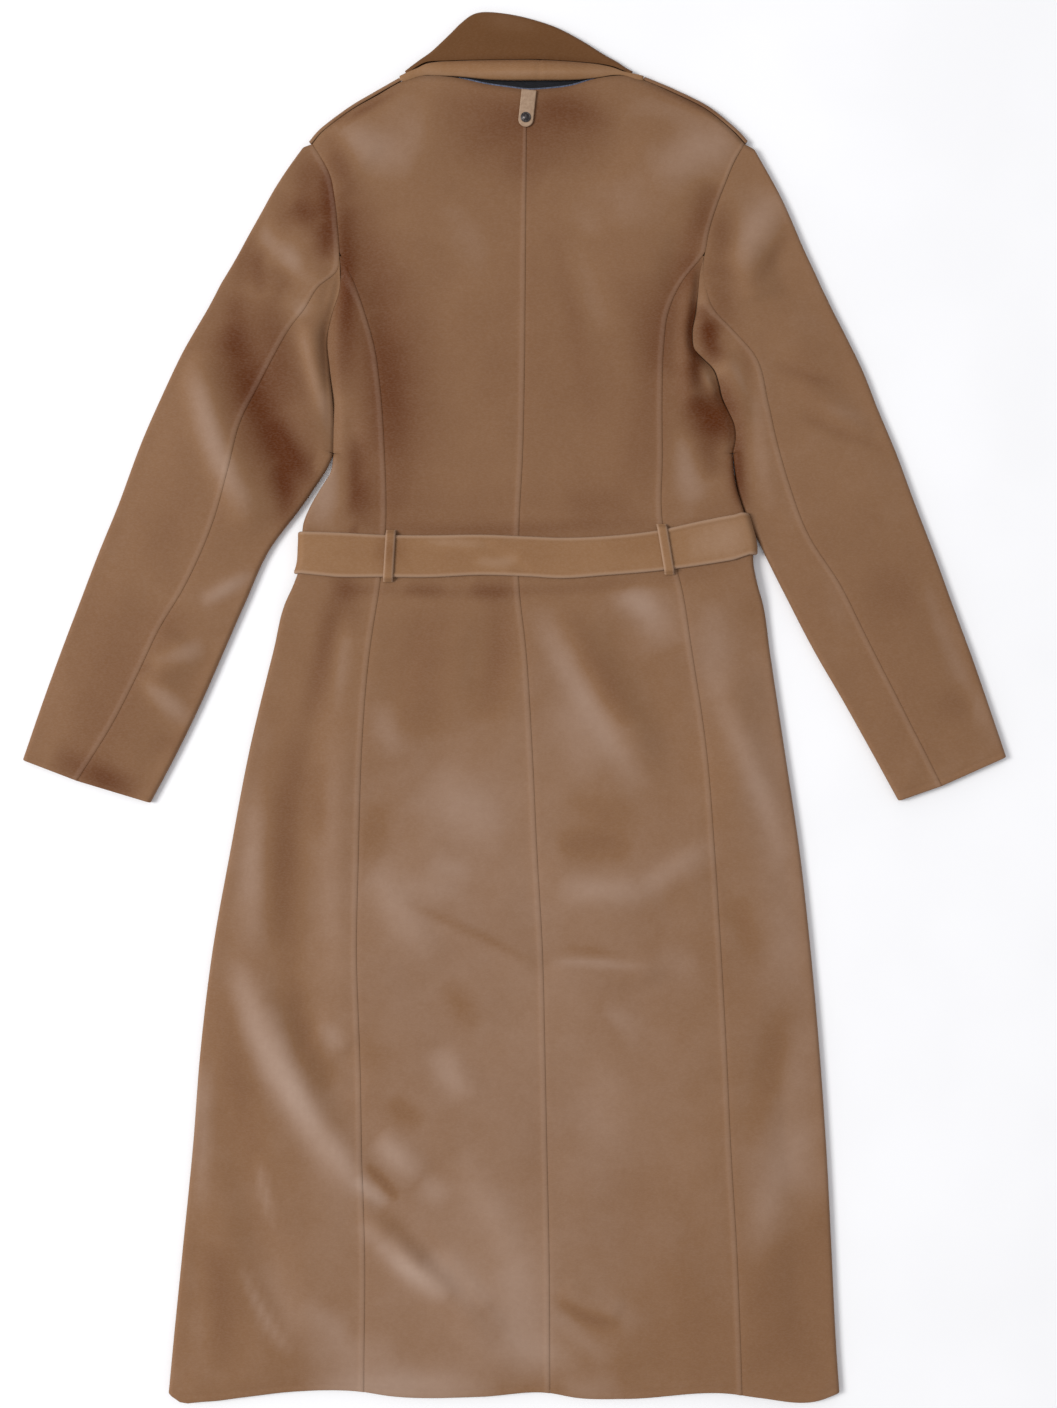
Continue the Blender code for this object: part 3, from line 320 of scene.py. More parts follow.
# Relief of the small pieces
BAND_JOIN = 22.0
BAND_JOIN_LOW = 0.6
BAND_JOIN_WIDE = 1.6
BAND_FULL = 0.8
BELT_ROLL = 0.5
BELT_ROLL_WIDE = 5.0
BELT_STITCH_IN = 5.2
BELT_STITCH_LOW = 0.5
BELT_STITCH_WIDE = 1.3
# Width of the painted highlight along the belt's edges
BELT_HIGHLIGHT_WIDE = 4.0
LOOP_RISE = 3.8
LOOP_SLACK = 0.4
LOOP_CROWN = 0.35
LOOP_CROWN_WIDE = 3.0
# Width of the painted highlight along the loop's edges
LOOP_HIGHLIGHT_WIDE = 2.5
TAB_STITCH_IN = 1.6
TAB_STITCH_LOW = 0.25
TAB_STITCH_WIDE = 0.5
TAB_ROUND = TAB_THICK * 0.8
TAB_TURN = np.radians(86)
RIM_RADIUS = 0.9
RIM_IN = 6.0
RIM_UP = 0.7
RIM_TAPER = 12.0
RIM_TIP = 0.2
# share of the radius, share of the height
SNAP_PROFILE = (
    (1.0, -0.05), (1.0, 0.25), (0.95, 0.38), (0.84, 0.42), (0.78, 0.32),
    (0.72, 0.36), (0.6, 0.62), (0.42, 0.85), (0.22, 0.97), (0.06, 1.0),
)

# How each panel meets its neighbours: at its outer seam, then at the centre back seam
LAPS = {
    "back_left": ("under", "over"),
    "back_right": ("over", "under"),
    "side_back_left": ("over",),
    "side_back_right": ("under",),
    "top_sleeve_left": ("over",),
    "top_sleeve_right": ("under",),
    "under_sleeve_left": ("under",),
    "under_sleeve_right": ("over",),
}

# length, heading in degrees, phase, height
WAVES = (
    (210, 20, 0.4, 0.50),
    (160, 110, 2.1, 0.45),
    (120, 65, 4.0, 0.35),
    (95, 150, 1.2, 0.28),
    (70, 35, 5.2, 0.16),
    (52, 95, 3.3, 0.10),
)
# How far each wave bends the next, and the bend's turns to one of the wave's
WAVE_BEND = 1.3
WAVE_TURN = 0.63

# Finer creases, in the same form as the folds
CREASES = {
    "body": (
        (-148, 165, -13, 168, 133, 165, 14, -0.8), (-159, 109, -155, 96, -153, 69, 9, -1.6),
        (-81, 109, -81, 92, -85, 60, 11, -1.2), (-15, 107, -15, 92, -18, 60, 10, -1.2),
        (-117, 105, -116, 60, -114, 6, 14, 0.9), (-49, 105, -49, 69, -53, 6, 13, 0.9),
        (-150, 6, -157, -129, -152, -273, 12, 1), (-218, 6, -229, -111, -231, -219, 12, 0.8),
        (-193, 240, -177, 222, -166, 186, 7, 1), (-121, -159, -98, -184, -65, -233, 15, 1.1),
        (-63, -66, -33, -94, 9, -129, 22, 1.3), (34, -172, 77, -170, 126, -158, 13, 1),
        (122, -159, 149, -143, 178, -120, 10, 0.7), (-99, -179, -36, -208, 27, -240, 4, 0.5),
        (30, -233, 72, -233, 120, -238, 4, 0.4), (-62, -307, -47, -332, -31, -357, 13, 1.1),
        (-121, -384, -101, -400, -80, -422, 11, 1.4), (-108, -478, -83, -503, -53, -526, 8, 1.8),
        (-47, -404, -15, -456, 16, -519, 15, 1.1), (-78, -465, -38, -519, 0, -575, 4, 0.9),
        (-225, -399, -220, -435, -210, -472, 4, 0.8), (-240, -500, -220, -544, -193, -584, 5, 1),
        (187, 17, 219, -52, 252, -141, 12, 1.2), (194, -174, 201, -196, 212, -223, 9, -0.7),
        (244, -246, 225, -323, 205, -400, 13, -0.9), (37, -532, 66, -554, 100, -559, 5, -0.9),
        (-161, 519, -123, 496, -76, 503, 14, 0.9), (203, 507, 167, 492, 122, 465, 14, 1),
        (41, 443, 61, 348, 82, 231, 9, 0.7), (167, 307, 174, 292, 182, 280, 4, 1.2),
    ),
    "sleeve": (
        (-216, 420, -195, 400, -173, 377, 10, 1.4), (-191, 356, -182, 310, -161, 237, 6, 1.2),
        (-278, 98, -258, 109, -231, 126, 6, 1.2), (-324, 32, -299, 40, -272, 48, 9, 1.3),
        (-330, 30, -312, 10, -283, -15, 9, 1.2), (246, 456, 223, 422, 201, 382, 13, 1.6),
        (257, 262, 293, 246, 338, 230, 5, -0.8), (232, 310, 261, 298, 302, 289, 5, -0.8),
        (214, 339, 223, 258, 234, 168, 8, 0.7),
    ),
}

# Light and shade painted on the cloth as paler (above 0, a painted sheen highlight) or deeper (below 0,
# painted shade) strokes, in the same form as the folds
# Share of the painted light and shade that the underside gets
UNDERSIDE_PAINT_SHARE = 0.6
PAINTED_LIGHT_STROKES = {
    "body": (
        (-90, 480, 0, 330, 0, 180, 171, -0.2), (-150, 10, -20, -250, -20, -560, 189, 0.3),
        (-60, -420, -60, -520, -40, -600, 117, 0.25), (-76, 548, 9, 536, 77, 548, 23, -0.85),
        (-85, 516, 9, 505, 99, 518, 27, -0.62), (-162, 523, -132, 503, -87, 494, 18, 0.55),
        (23, 546, 61, 534, 97, 525, 16, -0.5), (201, 514, 167, 500, 122, 474, 22, 0.55),
        (41, 465, 95, 456, 145, 420, 29, 0.22), (95, 543, 135, 536, 171, 523, 11, 0.2),
        (-108, 546, -90, 519, -76, 483, 16, 0.2), (-168, 524, -137, 538, -99, 561, 4, -1),
        (113, 562, 160, 543, 196, 526, 4, -0.8), (-13, 492, 5, 482, 27, 471, 16, -0.25),
        (-146, 195, -128, 186, -94, 179, 20, -0.45), (41, 186, 77, 182, 109, 186, 18, -0.3),
        (41, 449, 61, 436, 73, 420, 13, 0.22), (-168, 518, -157, 488, -146, 456, 12, -0.9),
        (-146, 474, -134, 420, -126, 357, 20, -0.7), (-137, 384, -121, 294, -117, 195, 23, -0.75),
        (-125, 429, -103, 294, -101, 150, 31, -0.7), (-155, 465, -152, 384, -155, 276, 11, -1.3),
        (-144, 249, -141, 204, -139, 159, 12, -0.9), (180, 474, 167, 434, 145, 366, 14, -0.95),
        (158, 411, 162, 366, 160, 330, 9, -0.6), (149, 411, 138, 348, 135, 294, 16, -0.7),
        (115, 393, 120, 294, 111, 186, 23, -0.62), (-67, 456, -40, 416, -31, 366, 25, 0.24),
        (-60, 384, -54, 330, -56, 258, 23, 0.12), (48, 425, 66, 375, 79, 330, 14, 0.28),
        (32, 443, 54, 348, 75, 231, 9, -0.28), (88, 375, 106, 294, 117, 213, 14, 0.18),
        (-157, 161, -13, 159, 135, 166, 8, -0.6), (-148, 177, -13, 182, 133, 179, 20, -0.25),
        (-148, 161, -144, 158, -139, 158, 8, -0.6), (138, 186, 158, 179, 198, 182, 7, -0.15),
        (151, 254, 156, 213, 160, 168, 15, 0.55), (-168, 227, -170, 194, -177, 159, 13, 0.5),
        (-146, 240, -145, 204, -147, 168, 5, -0.4), (167, 366, 163, 330, 165, 282, 10, -1.7),
        (163, 284, 178, 260, 194, 237, 14, -1.6), (167, 258, 172, 231, 181, 204, 13, -0.8),
        (153, 312, 158, 276, 162, 240, 12, -0.7), (169, 307, 174, 294, 181, 282, 4, 0.8),
        (-184, 111, 5, 104, 212, 126, 6, -0.4), (-170, 105, -148, 104, -121, 105, 7, -0.3),
        (-99, 109, -81, 105, -60, 107, 8, -0.55), (-40, 112, -20, 104, 1, 112, 10, -0.7),
        (86, 109, 104, 96, 131, 91, 11, 0.3), (-162, 105, -171, 51, -186, -21, 11, -0.8),
        (-155, 127, -152, 105, -148, 60, 13, -0.7), (-189, -12, -207, -129, -200, -237, 15, -0.7),
        (-202, -219, -191, -291, -162, -343, 11, -0.45), (-153, 96, -155, 51, -161, -12, 7, 0.3),
        (-227, 6, -236, -102, -242, -201, 12, 0.15), (-157, -21, -166, -129, -161, -264, 9, 0.14),
        (-170, -282, -164, -296, -155, -309, 9, 0.4), (-81, 96, -81, 42, -85, -30, 27, -0.48),
        (-15, 101, -13, 51, -29, -16, 15, -0.6), (-121, 6, -114, -21, -105, -48, 11, 0.3),
        (19, 91, 63, 6, 118, -76, 13, 0.55), (34, 15, 55, -25, 73, -66, 18, 0.28),
        (43, 93, 82, 24, 104, -17, 12, -0.45), (102, 109, 120, 87, 142, 51, 18, 0.55),
        (174, 100, 181, 51, 189, 6, 18, 0.36), (214, 96, 248, -264, 262, -615, 23, 0.34),
        (221, -318, 225, -444, 230, -615, 18, 0.3), (-81, -61, -49, -88, -4, -120, 29, 0.38),
        (-132, -148, -107, -174, -74, -228, 18, 0.42), (-103, -156, -72, -163, -40, -170, 12, 0.22),
        (-121, -84, -126, -111, -132, -140, 14, -0.28), (-67, -250, -47, -268, -31, -289, 14, -0.3),
        (-71, -305, -58, -328, -42, -354, 14, 0.42), (-114, -352, -99, -364, -81, -374, 11, -0.3),
        (-78, -138, -58, -145, -36, -147, 11, 0.35), (-177, -48, -177, -84, -173, -129, 9, -0.25),
        (126, -219, 149, -230, 167, -233, 13, 0.25), (77, -273, 95, -282, 113, -300, 11, 0.25),
        (-139, -291, -126, -318, -117, -345, 13, -0.12), (37, -163, 77, -165, 138, -163, 14, 0.45),
        (113, -158, 145, -143, 178, -120, 12, 0.4), (37, -125, 68, -122, 108, -129, 14, -0.42),
        (41, -84, 77, -93, 113, -111, 14, -0.2), (-103, -174, -40, -201, 23, -233, 4, -0.28),
        (30, -230, 72, -230, 120, -235, 4, 0.4), (41, -217, 68, -219, 100, -224, 4, -0.2),
        (77, -262, 84, -285, 97, -292, 5, -0.15), (77, -318, 77, -381, 68, -444, 23, 0.18),
        (-251, -224, -210, -334, -135, -435, 14, 0.9), (-143, -422, -130, -435, -114, -449, 7, 0.7),
        (-125, -386, -108, -402, -85, -424, 13, 0.65), (-134, -410, -117, -428, -105, -444, 4, -0.7),
        (-123, -449, -103, -471, -74, -496, 7, -0.2), (-121, -480, -92, -507, -58, -530, 10, 0.85),
        (-85, -465, -45, -518, -6, -575, 4, -0.15), (-78, -489, -51, -512, -24, -539, 13, 0.45),
        (-54, -399, -20, -453, 9, -525, 18, 0.26), (-13, -498, 9, -552, 23, -615, 29, 0.45),
        (-193, -609, -103, -613, -13, -609, 20, 0.8), (-193, -534, -171, -552, -148, -561, 13, 0.4),
        (-139, -462, -128, -476, -114, -489, 8, 0.35), (-85, -426, -74, -433, -58, -444, 11, 0.35),
        (-166, -381, -153, -408, -139, -444, 9, 0.3), (-13, -561, 23, -579, 59, -588, 18, 0.3),
        (68, -525, 95, -543, 113, -561, 11, 0.25), (-193, -570, -148, -579, -103, -579, 18, 0.35),
        (-287, -489, -278, -543, -283, -606, 13, 0.35), (41, -611, 68, -613, 97, -611, 16, 0.4),
        (-58, -552, -22, -579, 5, -615, 22, 0.2), (-263, -246, -247, -345, -227, -426, 14, -0.35),
        (-279, -318, -281, -372, -281, -462, 8, 0.4), (-220, -264, -200, -327, -166, -390, 8, 0.35),
        (-231, -399, -225, -435, -216, -472, 5, 0.32), (-231, -84, -234, -156, -236, -228, 13, 0.35),
        (-270, -480, -269, -534, -263, -598, 18, -0.55), (-247, -500, -227, -544, -200, -584, 5, 0.45),
        (-227, -498, -209, -534, -193, -579, 13, 0.25), (-193, -381, -166, -426, -148, -471, 11, 0.1),
        (34, -526, 63, -548, 97, -554, 6, -0.5), (37, -544, 63, -570, 91, -588, 9, 0.35),
        (178, 17, 210, -52, 243, -141, 11, 0.45), (158, 78, 167, 42, 181, 6, 13, 0.15),
        (199, -169, 207, -196, 217, -223, 9, -0.25), (252, -246, 232, -323, 212, -400, 14, -0.4),
        (268, -372, 244, -417, 221, -466, 13, 0.22), (273, -433, 250, -520, 257, -618, 29, -0.4),
        (230, -480, 223, -534, 223, -606, 14, -0.25), (158, -489, 158, -543, 167, -606, 23, -0.1),
        (-92, 570, 5, 568, 106, 572, 4, 0.35), (-87, 580, 5, 581, 91, 578, 4, -0.85),
        (-67, 574, 5, 573, 77, 573, 3, -0.25), (-67, 591, 5, 595, 68, 584, 13, -0.25),
        (-36, 618, -4, 615, 41, 600, 9, 0.15),
    ),
    "sleeve": (
        (-230, 440, -250, 300, -290, 120, 59, -0.3), (275, 186, 329, 60, 383, -30, 54, -0.08),
        (183, 456, 187, 420, 178, 384, 13, -0.8), (187, 400, 190, 366, 196, 326, 11, -0.5),
        (257, 330, 266, 294, 275, 249, 14, -0.25), (-166, 501, -161, 456, -161, 400, 11, -1.2),
        (-173, 435, -171, 411, -177, 384, 11, -0.6), (-193, 424, -189, 400, -189, 375, 9, -0.35),
        (-222, 400, -207, 381, -195, 356, 11, -0.4), (-173, 492, -171, 447, -175, 400, 11, -0.9),
        (-206, 465, -209, 438, -207, 400, 11, -0.6), (-177, 505, -189, 465, -182, 420, 13, -0.9),
        (-202, 452, -191, 444, -177, 436, 11, -0.6), (-231, 428, -206, 410, -179, 375, 14, 0.8),
        (-211, 372, -198, 363, -186, 348, 12, 0.55), (-225, 415, -231, 395, -227, 370, 7, -0.7),
        (-236, 428, -243, 400, -249, 370, 9, -0.5), (-247, 375, -251, 348, -254, 312, 13, -0.75),
        (-258, 346, -229, 269, -191, 176, 24, -1.4), (-220, 258, -193, 220, -177, 213, 14, -0.9),
        (-225, 370, -211, 321, -200, 267, 16, -0.75), (-218, 217, -206, 190, -211, 154, 11, -1),
        (-188, 326, -188, 276, -177, 231, 10, -0.25), (-287, 321, -270, 240, -234, 168, 14, 0.9),
        (-193, 348, -185, 307, -162, 240, 7, 0.45), (-283, 93, -261, 105, -233, 122, 7, 0.6),
        (-330, 35, -305, 47, -276, 55, 11, 0.65), (-337, 30, -319, 10, -290, -15, 10, 0.6),
        (-328, -28, -308, -32, -292, -28, 11, -0.3), (-382, -61, -364, -68, -337, -78, 13, -0.4),
        (-292, 213, -306, 159, -328, 114, 20, -0.18), (-332, 105, -362, 15, -384, -84, 40, -0.55),
        (-418, -44, -382, -58, -332, -80, 14, -0.85), (-305, 96, -308, 60, -315, 15, 14, -0.35),
        (365, 123, 396, 42, 437, -34, 8, 0.3), (239, 464, 214, 429, 192, 390, 17, 0.55),
        (248, 433, 234, 408, 212, 374, 6, -0.35), (167, 346, 176, 326, 183, 307, 11, -1.5),
        (165, 363, 172, 348, 187, 334, 10, -1.1), (203, 334, 210, 303, 212, 258, 7, -0.5),
        (167, 402, 178, 375, 190, 348, 8, -0.3), (194, 312, 207, 287, 214, 255, 7, 0.25),
        (208, 339, 218, 258, 228, 168, 9, 0.22), (232, 310, 261, 298, 302, 289, 5, -0.3),
        (257, 262, 293, 246, 338, 230, 5, -0.32), (257, 280, 288, 267, 320, 258, 6, 0.15),
        (329, 132, 342, 105, 351, 78, 22, -0.28), (387, 15, 401, 2, 414, -4, 22, -0.28),
        (275, 132, 288, 87, 302, 42, 14, 0.12),
    ),
    "all": (
        (203, 258, 200, 213, 207, 173, 8, -1.6), (181, 298, 190, 276, 205, 249, 10, -1.2),
        (-166, 366, -171, 326, -166, 285, 4, -0.5),
    ),
    "belt": (
        (153, 146, 185, 150, 217, 158, 18, 0.3), (-193, 140, -67, 136, 77, 140, 20, -0.22),
        (-128, 140, -112, 140, -92, 141, 14, -0.5), (-89, 147, -53, 147, -13, 143, 6, 0.35),
        (-40, 130, -15, 130, 7, 134, 7, 0.45), (77, 146, 113, 146, 138, 146, 11, -0.25),
    ),
}
BELT_DENTS = {
    "belt": (
        (-32, 149, -10, 135, 15, 121, 6, -1),
    ),
}

# Colours as a screen shows them, and lights
WOOL_ROUGH = 0.62
WOOL_SHEEN = 0.04
SHEEN_SHADE = (255, 226, 208)
NAP_MOTTLE = 0.06
# How far the painted sheen highlight and the painted shade pull the colour towards the pale and deep shades
PAINTED_SHEEN_SHARE = 0.75
PAINTED_SHADE_SHARE = 0.58
# deep (painted shade, also the darker random mottle), middle, and pale (painted sheen highlight, also the
# pale fibres)
COAT_SHADES = ((82, 38, 4), (131, 97, 69), (168, 143, 126))
# The belt, its loops and the collar band are the coat's wool painted lighter, as the light on them; the
# collar's fall is the same wool painted darker, as shade
LIT_BELT_SHADES = ((96, 54, 18), (140, 104, 72), (178, 151, 130))
SHADED_COLLAR_SHADES = ((74, 42, 14), (102, 68, 39), (142, 112, 88))
FLOOR_SHADES = ((243, 243, 243), (246, 246, 246))
FLOOR_HALF = 6000.0
FLOOR_LEVEL = -0.2
WORLD_SHADE = (250, 250, 255)
WORLD_STRENGTH = 0.56
# name, watts, metres wide, azimuth, elevation, metres away
LIGHTS = (
    ("key", 320.0, 2.4, 176.0, 46.0, 6.5),
    ("overhead", 10.0, 2.5, 90.0, 80.0, 4.0),
)

# Curves

def smooth(table, at, column=1):
    """A smooth curve through one column of a table whose first column rises, read at the given places."""
    knots, values = table[:, 0], table[:, column]
    slopes = np.gradient(values, knots)
    at = np.clip(np.asarray(at, float), knots[0], knots[-1])
    k = np.clip(np.searchsorted(knots, at, side="right") - 1, 0, len(knots) - 2)
    length = knots[k + 1] - knots[k]
    s = (at - knots[k]) / length
    rising = s * s * (3 - 2 * s)
    start = s * (1 - s) ** 2 * length * slopes[k]
    end = s * s * (1 - s) * length * slopes[k + 1]
    return values[k] * (1 - rising) + values[k + 1] * rising + start - end


def ease(share):
    """0 to 1 with level ends."""
    share = np.clip(share, 0, 1)
    return share * share * (3 - 2 * share)


def bump(distance, wide):
    """1 at no distance, falling to 0 where the distance is as wide as given."""
    return 1 - ease(np.abs(distance) / wide)


def pairs(across, up):
    return np.stack([np.broadcast_to(across, np.shape(up)), up], axis=-1).astype(float)


def unit(vectors):
    return vectors / np.linalg.norm(vectors, axis=-1, keepdims=True)


def reach(start, end):
    return np.linalg.norm(end - start, axis=-1)


def sewn(side, curve, way):
    """A seam line, which runs down the coat, moved half the seam's gap outwards (1) or inwards (-1)."""
    run = np.gradient(curve, axis=0)
    return curve + OUTWARD[side] * way * SEAM_GAP / 2 * unit(np.stack([-run[:, 1], run[:, 0]], axis=-1))


def mixed(start, end, shares):
    """Points at the given shares of the way from each start to its end. Shares may differ by row."""
    shares = np.asarray(shares)
    shares = np.broadcast_to(shares, (len(start), shares.shape[-1]))[..., None]
    return start[:, None, :] * (1 - shares) + end[:, None, :] * shares


def through(points, shares):
    """Points on a smooth curve through the given ones, at shares of their count."""
    table = np.column_stack([np.linspace(0, 1, len(points)), points])
    return np.stack([smooth(table, shares, k + 1) for k in range(points.shape[1])], axis=-1)


def line_distance(spots, line):
    """How far each spot is from a run of straight stretches, and how far along it the nearest point is."""
    flat = spots.reshape(-1, 2)
    nearest = np.full(len(flat), np.inf)
    along = np.zeros(len(flat))
    for k in range(len(line) - 1):
        run = line[k + 1] - line[k]
        share = np.clip((flat - line[k]) @ run / (run @ run), 0, 1)
        gap = np.linalg.norm(flat - line[k] - share[:, None] * run, axis=1)
        closer = gap < nearest
        nearest[closer] = gap[closer]
        along[closer] = (k + share[closer]) / (len(line) - 1)
    return nearest.reshape(spots.shape[:-1]), along.reshape(spots.shape[:-1])


def levels_between(high, low, step=ROW_STEP):
    return np.linspace(high, low, int(round(abs(high - low) / step)) + 1)


def with_end_rows(levels, end):
    """Levels down to an end, with rows drawn together at its turned edge."""
    rows = end + HEM_ROWS[::-1]
    return np.concatenate([levels[levels > rows[0] + 1], rows])


CAP_LEVELS = levels_between(CAP_TOP, APEX)
SIDE_LEVELS = np.append(levels_between(APEX, UNDERARM + UNDERARM_ROW, SIDE_STEP), UNDERARM)
BODY_LEVELS = np.concatenate([SIDE_LEVELS, with_end_rows(levels_between(UNDERARM, HEM)[1:], HEM)])


def spread(width, cells, seams=(True, True)):
    """Shares across rows of the given widths: close together beside a seam, even elsewhere."""
    width = np.atleast_1d(np.asarray(width, float))[:, None]
    near = SEAM_COLUMNS * np.minimum(1, width / (SEAM_ROOM * SEAM_COLUMNS[-1])) / width
    start = near if seams[0] else np.zeros((len(width), 1))
    end = 1 - near[:, ::-1] if seams[1] else np.ones((len(width), 1))
    middle = start[:, -1:] + (end[:, :1] - start[:, -1:]) * np.linspace(0, 1, cells + 1)[1:-1]
    return np.concatenate([start, middle, end], axis=1)


# Where the seams and edges run

def join_line(side, levels):
    return pairs(smooth(JOINS[side], levels), levels)


def body_edge(side, levels):
    """Join line down to the underarm, then the side fold."""
    free = smooth(SIDES, levels, SIDE_COLUMN[side])
    return pairs(np.where(levels >= UNDERARM, smooth(JOINS[side], levels), free), levels)


def seam_line(column, levels):
    return pairs(smooth(SEAMS, levels, column), levels)


def front_edge(side, levels):
    across = smooth(FRONT_EDGE, levels)
    return pairs(2 * FRONT_CENTRE - across if side == "right" else across, levels)


def side_seam(side, levels):
    """Where the front meets the side back, on the underside."""
    grown = ease((UNDERARM - levels) / SIDE_SEAM_GROWN)
    inset = UNDERARM_INSET + (SIDE_SEAM_INSET - UNDERARM_INSET) * grown
    across = body_edge(side, levels)[:, 0] - OUTWARD[side] * inset
    return pairs(np.where(levels > UNDERARM, smooth(JOINS[side], levels), across), levels)


def sleeve_lines(side, levels):
    """Inner edge, back seam and outer fold of a sleeve at sections named by their inner edge's level."""
    column = [smooth(SLEEVES[side], levels, k) for k in range(1, 6)]
    joined = join_line(side, levels)
    inner = np.where(levels[:, None] >= UNDERARM, joined, pairs(column[0], levels))
    seam = np.where(levels[:, None] >= APEX, joined, np.stack(column[1:3], axis=-1))
    return inner, seam, np.stack(column[3:], axis=-1)


def outline():
    """The whole coat's outer line, with its arms and collar, as one closed run of points."""
    runs = []
    for side in ("left", "right"):
        inner, _, outer = sleeve_lines(side, np.linspace(CAP_TOP, SLEEVES[side][0, 0], 40))
        body_levels = np.linspace(UNDERARM, HEM, 34)
        body = pairs(smooth(SIDES, body_levels, SIDE_COLUMN[side]), body_levels)
        inner = inner[inner[:, 1] <= UNDERARM][::-1]
        runs.append(np.vstack([SHOULDERS[side][::-1, 2:], outer, inner, body]))
    return np.vstack([runs[0], HEM_LINE[1:-1], runs[1][::-1], COLLAR[::-1, 2:], runs[0][:1]])


class Inside:
    """Distance to the coat's outline, worked out once on a grid and read between its points."""

    STEP = 3.0

    def __init__(self, line):
        self.low = line.min(axis=0) - self.STEP
        high = line.max(axis=0) + self.STEP
        across, up = (np.arange(self.low[k], high[k] + self.STEP, self.STEP) for k in (0, 1))
        self.field, _ = line_distance(np.stack(np.meshgrid(across, up), axis=-1), line)

    def __call__(self, spots):
        rows, columns = self.field.shape
        place = np.clip((spots - self.low) / self.STEP, 0, (columns - 1.001, rows - 1.001))
        c, r = (place[..., k].astype(int) for k in (0, 1))
        s, t = place[..., 0] - c, place[..., 1] - r
        low = self.field[r, c] * (1 - s) + self.field[r, c + 1] * s
        high = self.field[r + 1, c] * (1 - s) + self.field[r + 1, c + 1] * s
        return low * (1 - t) + high * t


inside_of = Inside(outline())


# Heights above the surface

def pressed(spots):
    """1 where the belt holds the cloth flat, falling to 0 away from it."""
    belt_middle = (smooth(BELT, spots[..., 0], 1) + smooth(BELT, spots[..., 0], 2)) / 2
    return 1 - ease((np.abs(spots[..., 1] - belt_middle) - BELT_FLAT) / BELT_FADE)


def bowed(start, middle, end, steps=14):
    """A curve that passes through three points."""
    pull = 2 * middle - (start + end) / 2
    s = np.linspace(0, 1, steps + 1)[:, None]
    return start * (1 - s) ** 2 + 2 * pull * s * (1 - s) + end * s * s


def fold_height(spots, place, folds, soft=False):
    """Sum of the folds on a piece, each worked out only near itself. Soft ones fade from their middle."""
    total = np.zeros(spots.shape[:-1])
    for *line, width, height in folds.get(place, ()) + folds.get("all", ()):
        line = bowed(*np.array(line, float).reshape(3, 2))
        low, high = line.min(axis=0) - FOLD_NEAR * width, line.max(axis=0) + FOLD_NEAR * width
        near = np.all((spots > low) & (spots < high), axis=-1)
        if near.any():
            away, along = line_distance(spots[near], line)
            if soft:
                tapered = (4 * along * (1 - along)) ** SOFT_FADE
            else:
                tapered = ease(np.minimum(along, 1 - along) / FOLD_TAPER + FOLD_START)
            total[near] += height * tapered * np.exp(-((away / width) ** 2))
    return total


def rumple(spots):
    """The cloth's slow unevenness: long crossed waves, each bent by the one before it."""
    total = bend = np.zeros(spots.shape[:-1])
    for length, heading, phase, height in WAVES:
        way = np.array([np.cos(np.radians(heading)), np.sin(np.radians(heading))])
        turn = 2 * np.pi * (spots @ way) / length + phase + bend
        total = total + height * np.sin(turn)
        bend = WAVE_BEND * np.sin(turn * WAVE_TURN)
    return total


def top_middle(spots, place="body"):
    """Height of the middle of the upper layer of cloth."""
    inside = inside_of(spots)
    swell = SWELL * (1 - np.exp(-((inside / SWELL_REACH) ** 2)))
    folds = fold_height(spots, place, FOLDS) + fold_height(spots, place, CREASES, soft=True)
    rise = swell + (folds + rumple(spots)) * (1 - np.exp(-((inside / FOLD_FADE) ** 2)))
    rise = (rise + np.sqrt(rise * rise + SOFT_FLOOR**2)) / 2
    held = pressed(spots) if place == "body" else 0.0
    return EDGE_MIDDLE + rise * (1 - held) + BELT_LIFT * held


def bottom_middle(spots, place="body"):
    """Height of the middle of the cloth that lies on the surface."""
    return BOTTOM_MIDDLE + (BELT_LIFT * pressed(spots) if place == "body" else np.zeros(spots.shape[:-1]))


def with_hem(spots, shorter=0.0):
    """Spots near the bottom moved down to the uneven hem."""
    near = np.clip(1 - (spots[..., 1] - HEM) / HEM_REACH, 0, 1) ** 2
    found = spots.copy()
    found[..., 1] += near * (smooth(HEM_LINE, spots[..., 0]) - HEM + shorter)
    return found


def seam_height(distance, kind):
    """What a seam adds at a distance from it: a raised band on the lapping side, a dip on the other."""
    if kind == "over":
        return LAP_HIGH * band_rub(distance, kind)
    if kind == "under":
        return -UNDER_LOW * (1 - ease(distance / UNDER_WIDE))
    if kind == "pressed":
        return -JOIN_LOW * np.exp(-((distance / JOIN_WIDE) ** 2))
    return np.zeros_like(distance)


def band_rub(distance, kind):
    """1 on a lapped band, which is painted paler as a highlight, 0 elsewhere."""
    if kind != "over":
        return np.zeros_like(distance)
    return ease(distance / LAP_RISE) * (1 - ease((distance - LAP_WIDE) / LAP_FALL))


def turned_height(distance):
    """A turned hem's soft roll and the sunk line of its stitches."""
    roll = TURN_HIGH * bump(distance - TURN_WIDE / 2, TURN_WIDE / 2)
    return roll - TURN_GROOVE * bump(distance - TURN_WIDE, TURN_GROOVE_WIDE)


def rounded(distance, thickness=CLOTH):
    """Share of the full thickness at a distance inside an edge whose rim is round."""
    inside = np.clip(distance * 2 / thickness, 0, 1)
    return np.maximum(np.sqrt(1 - (1 - inside) ** 2), RIM_LEAST)


# Meshes

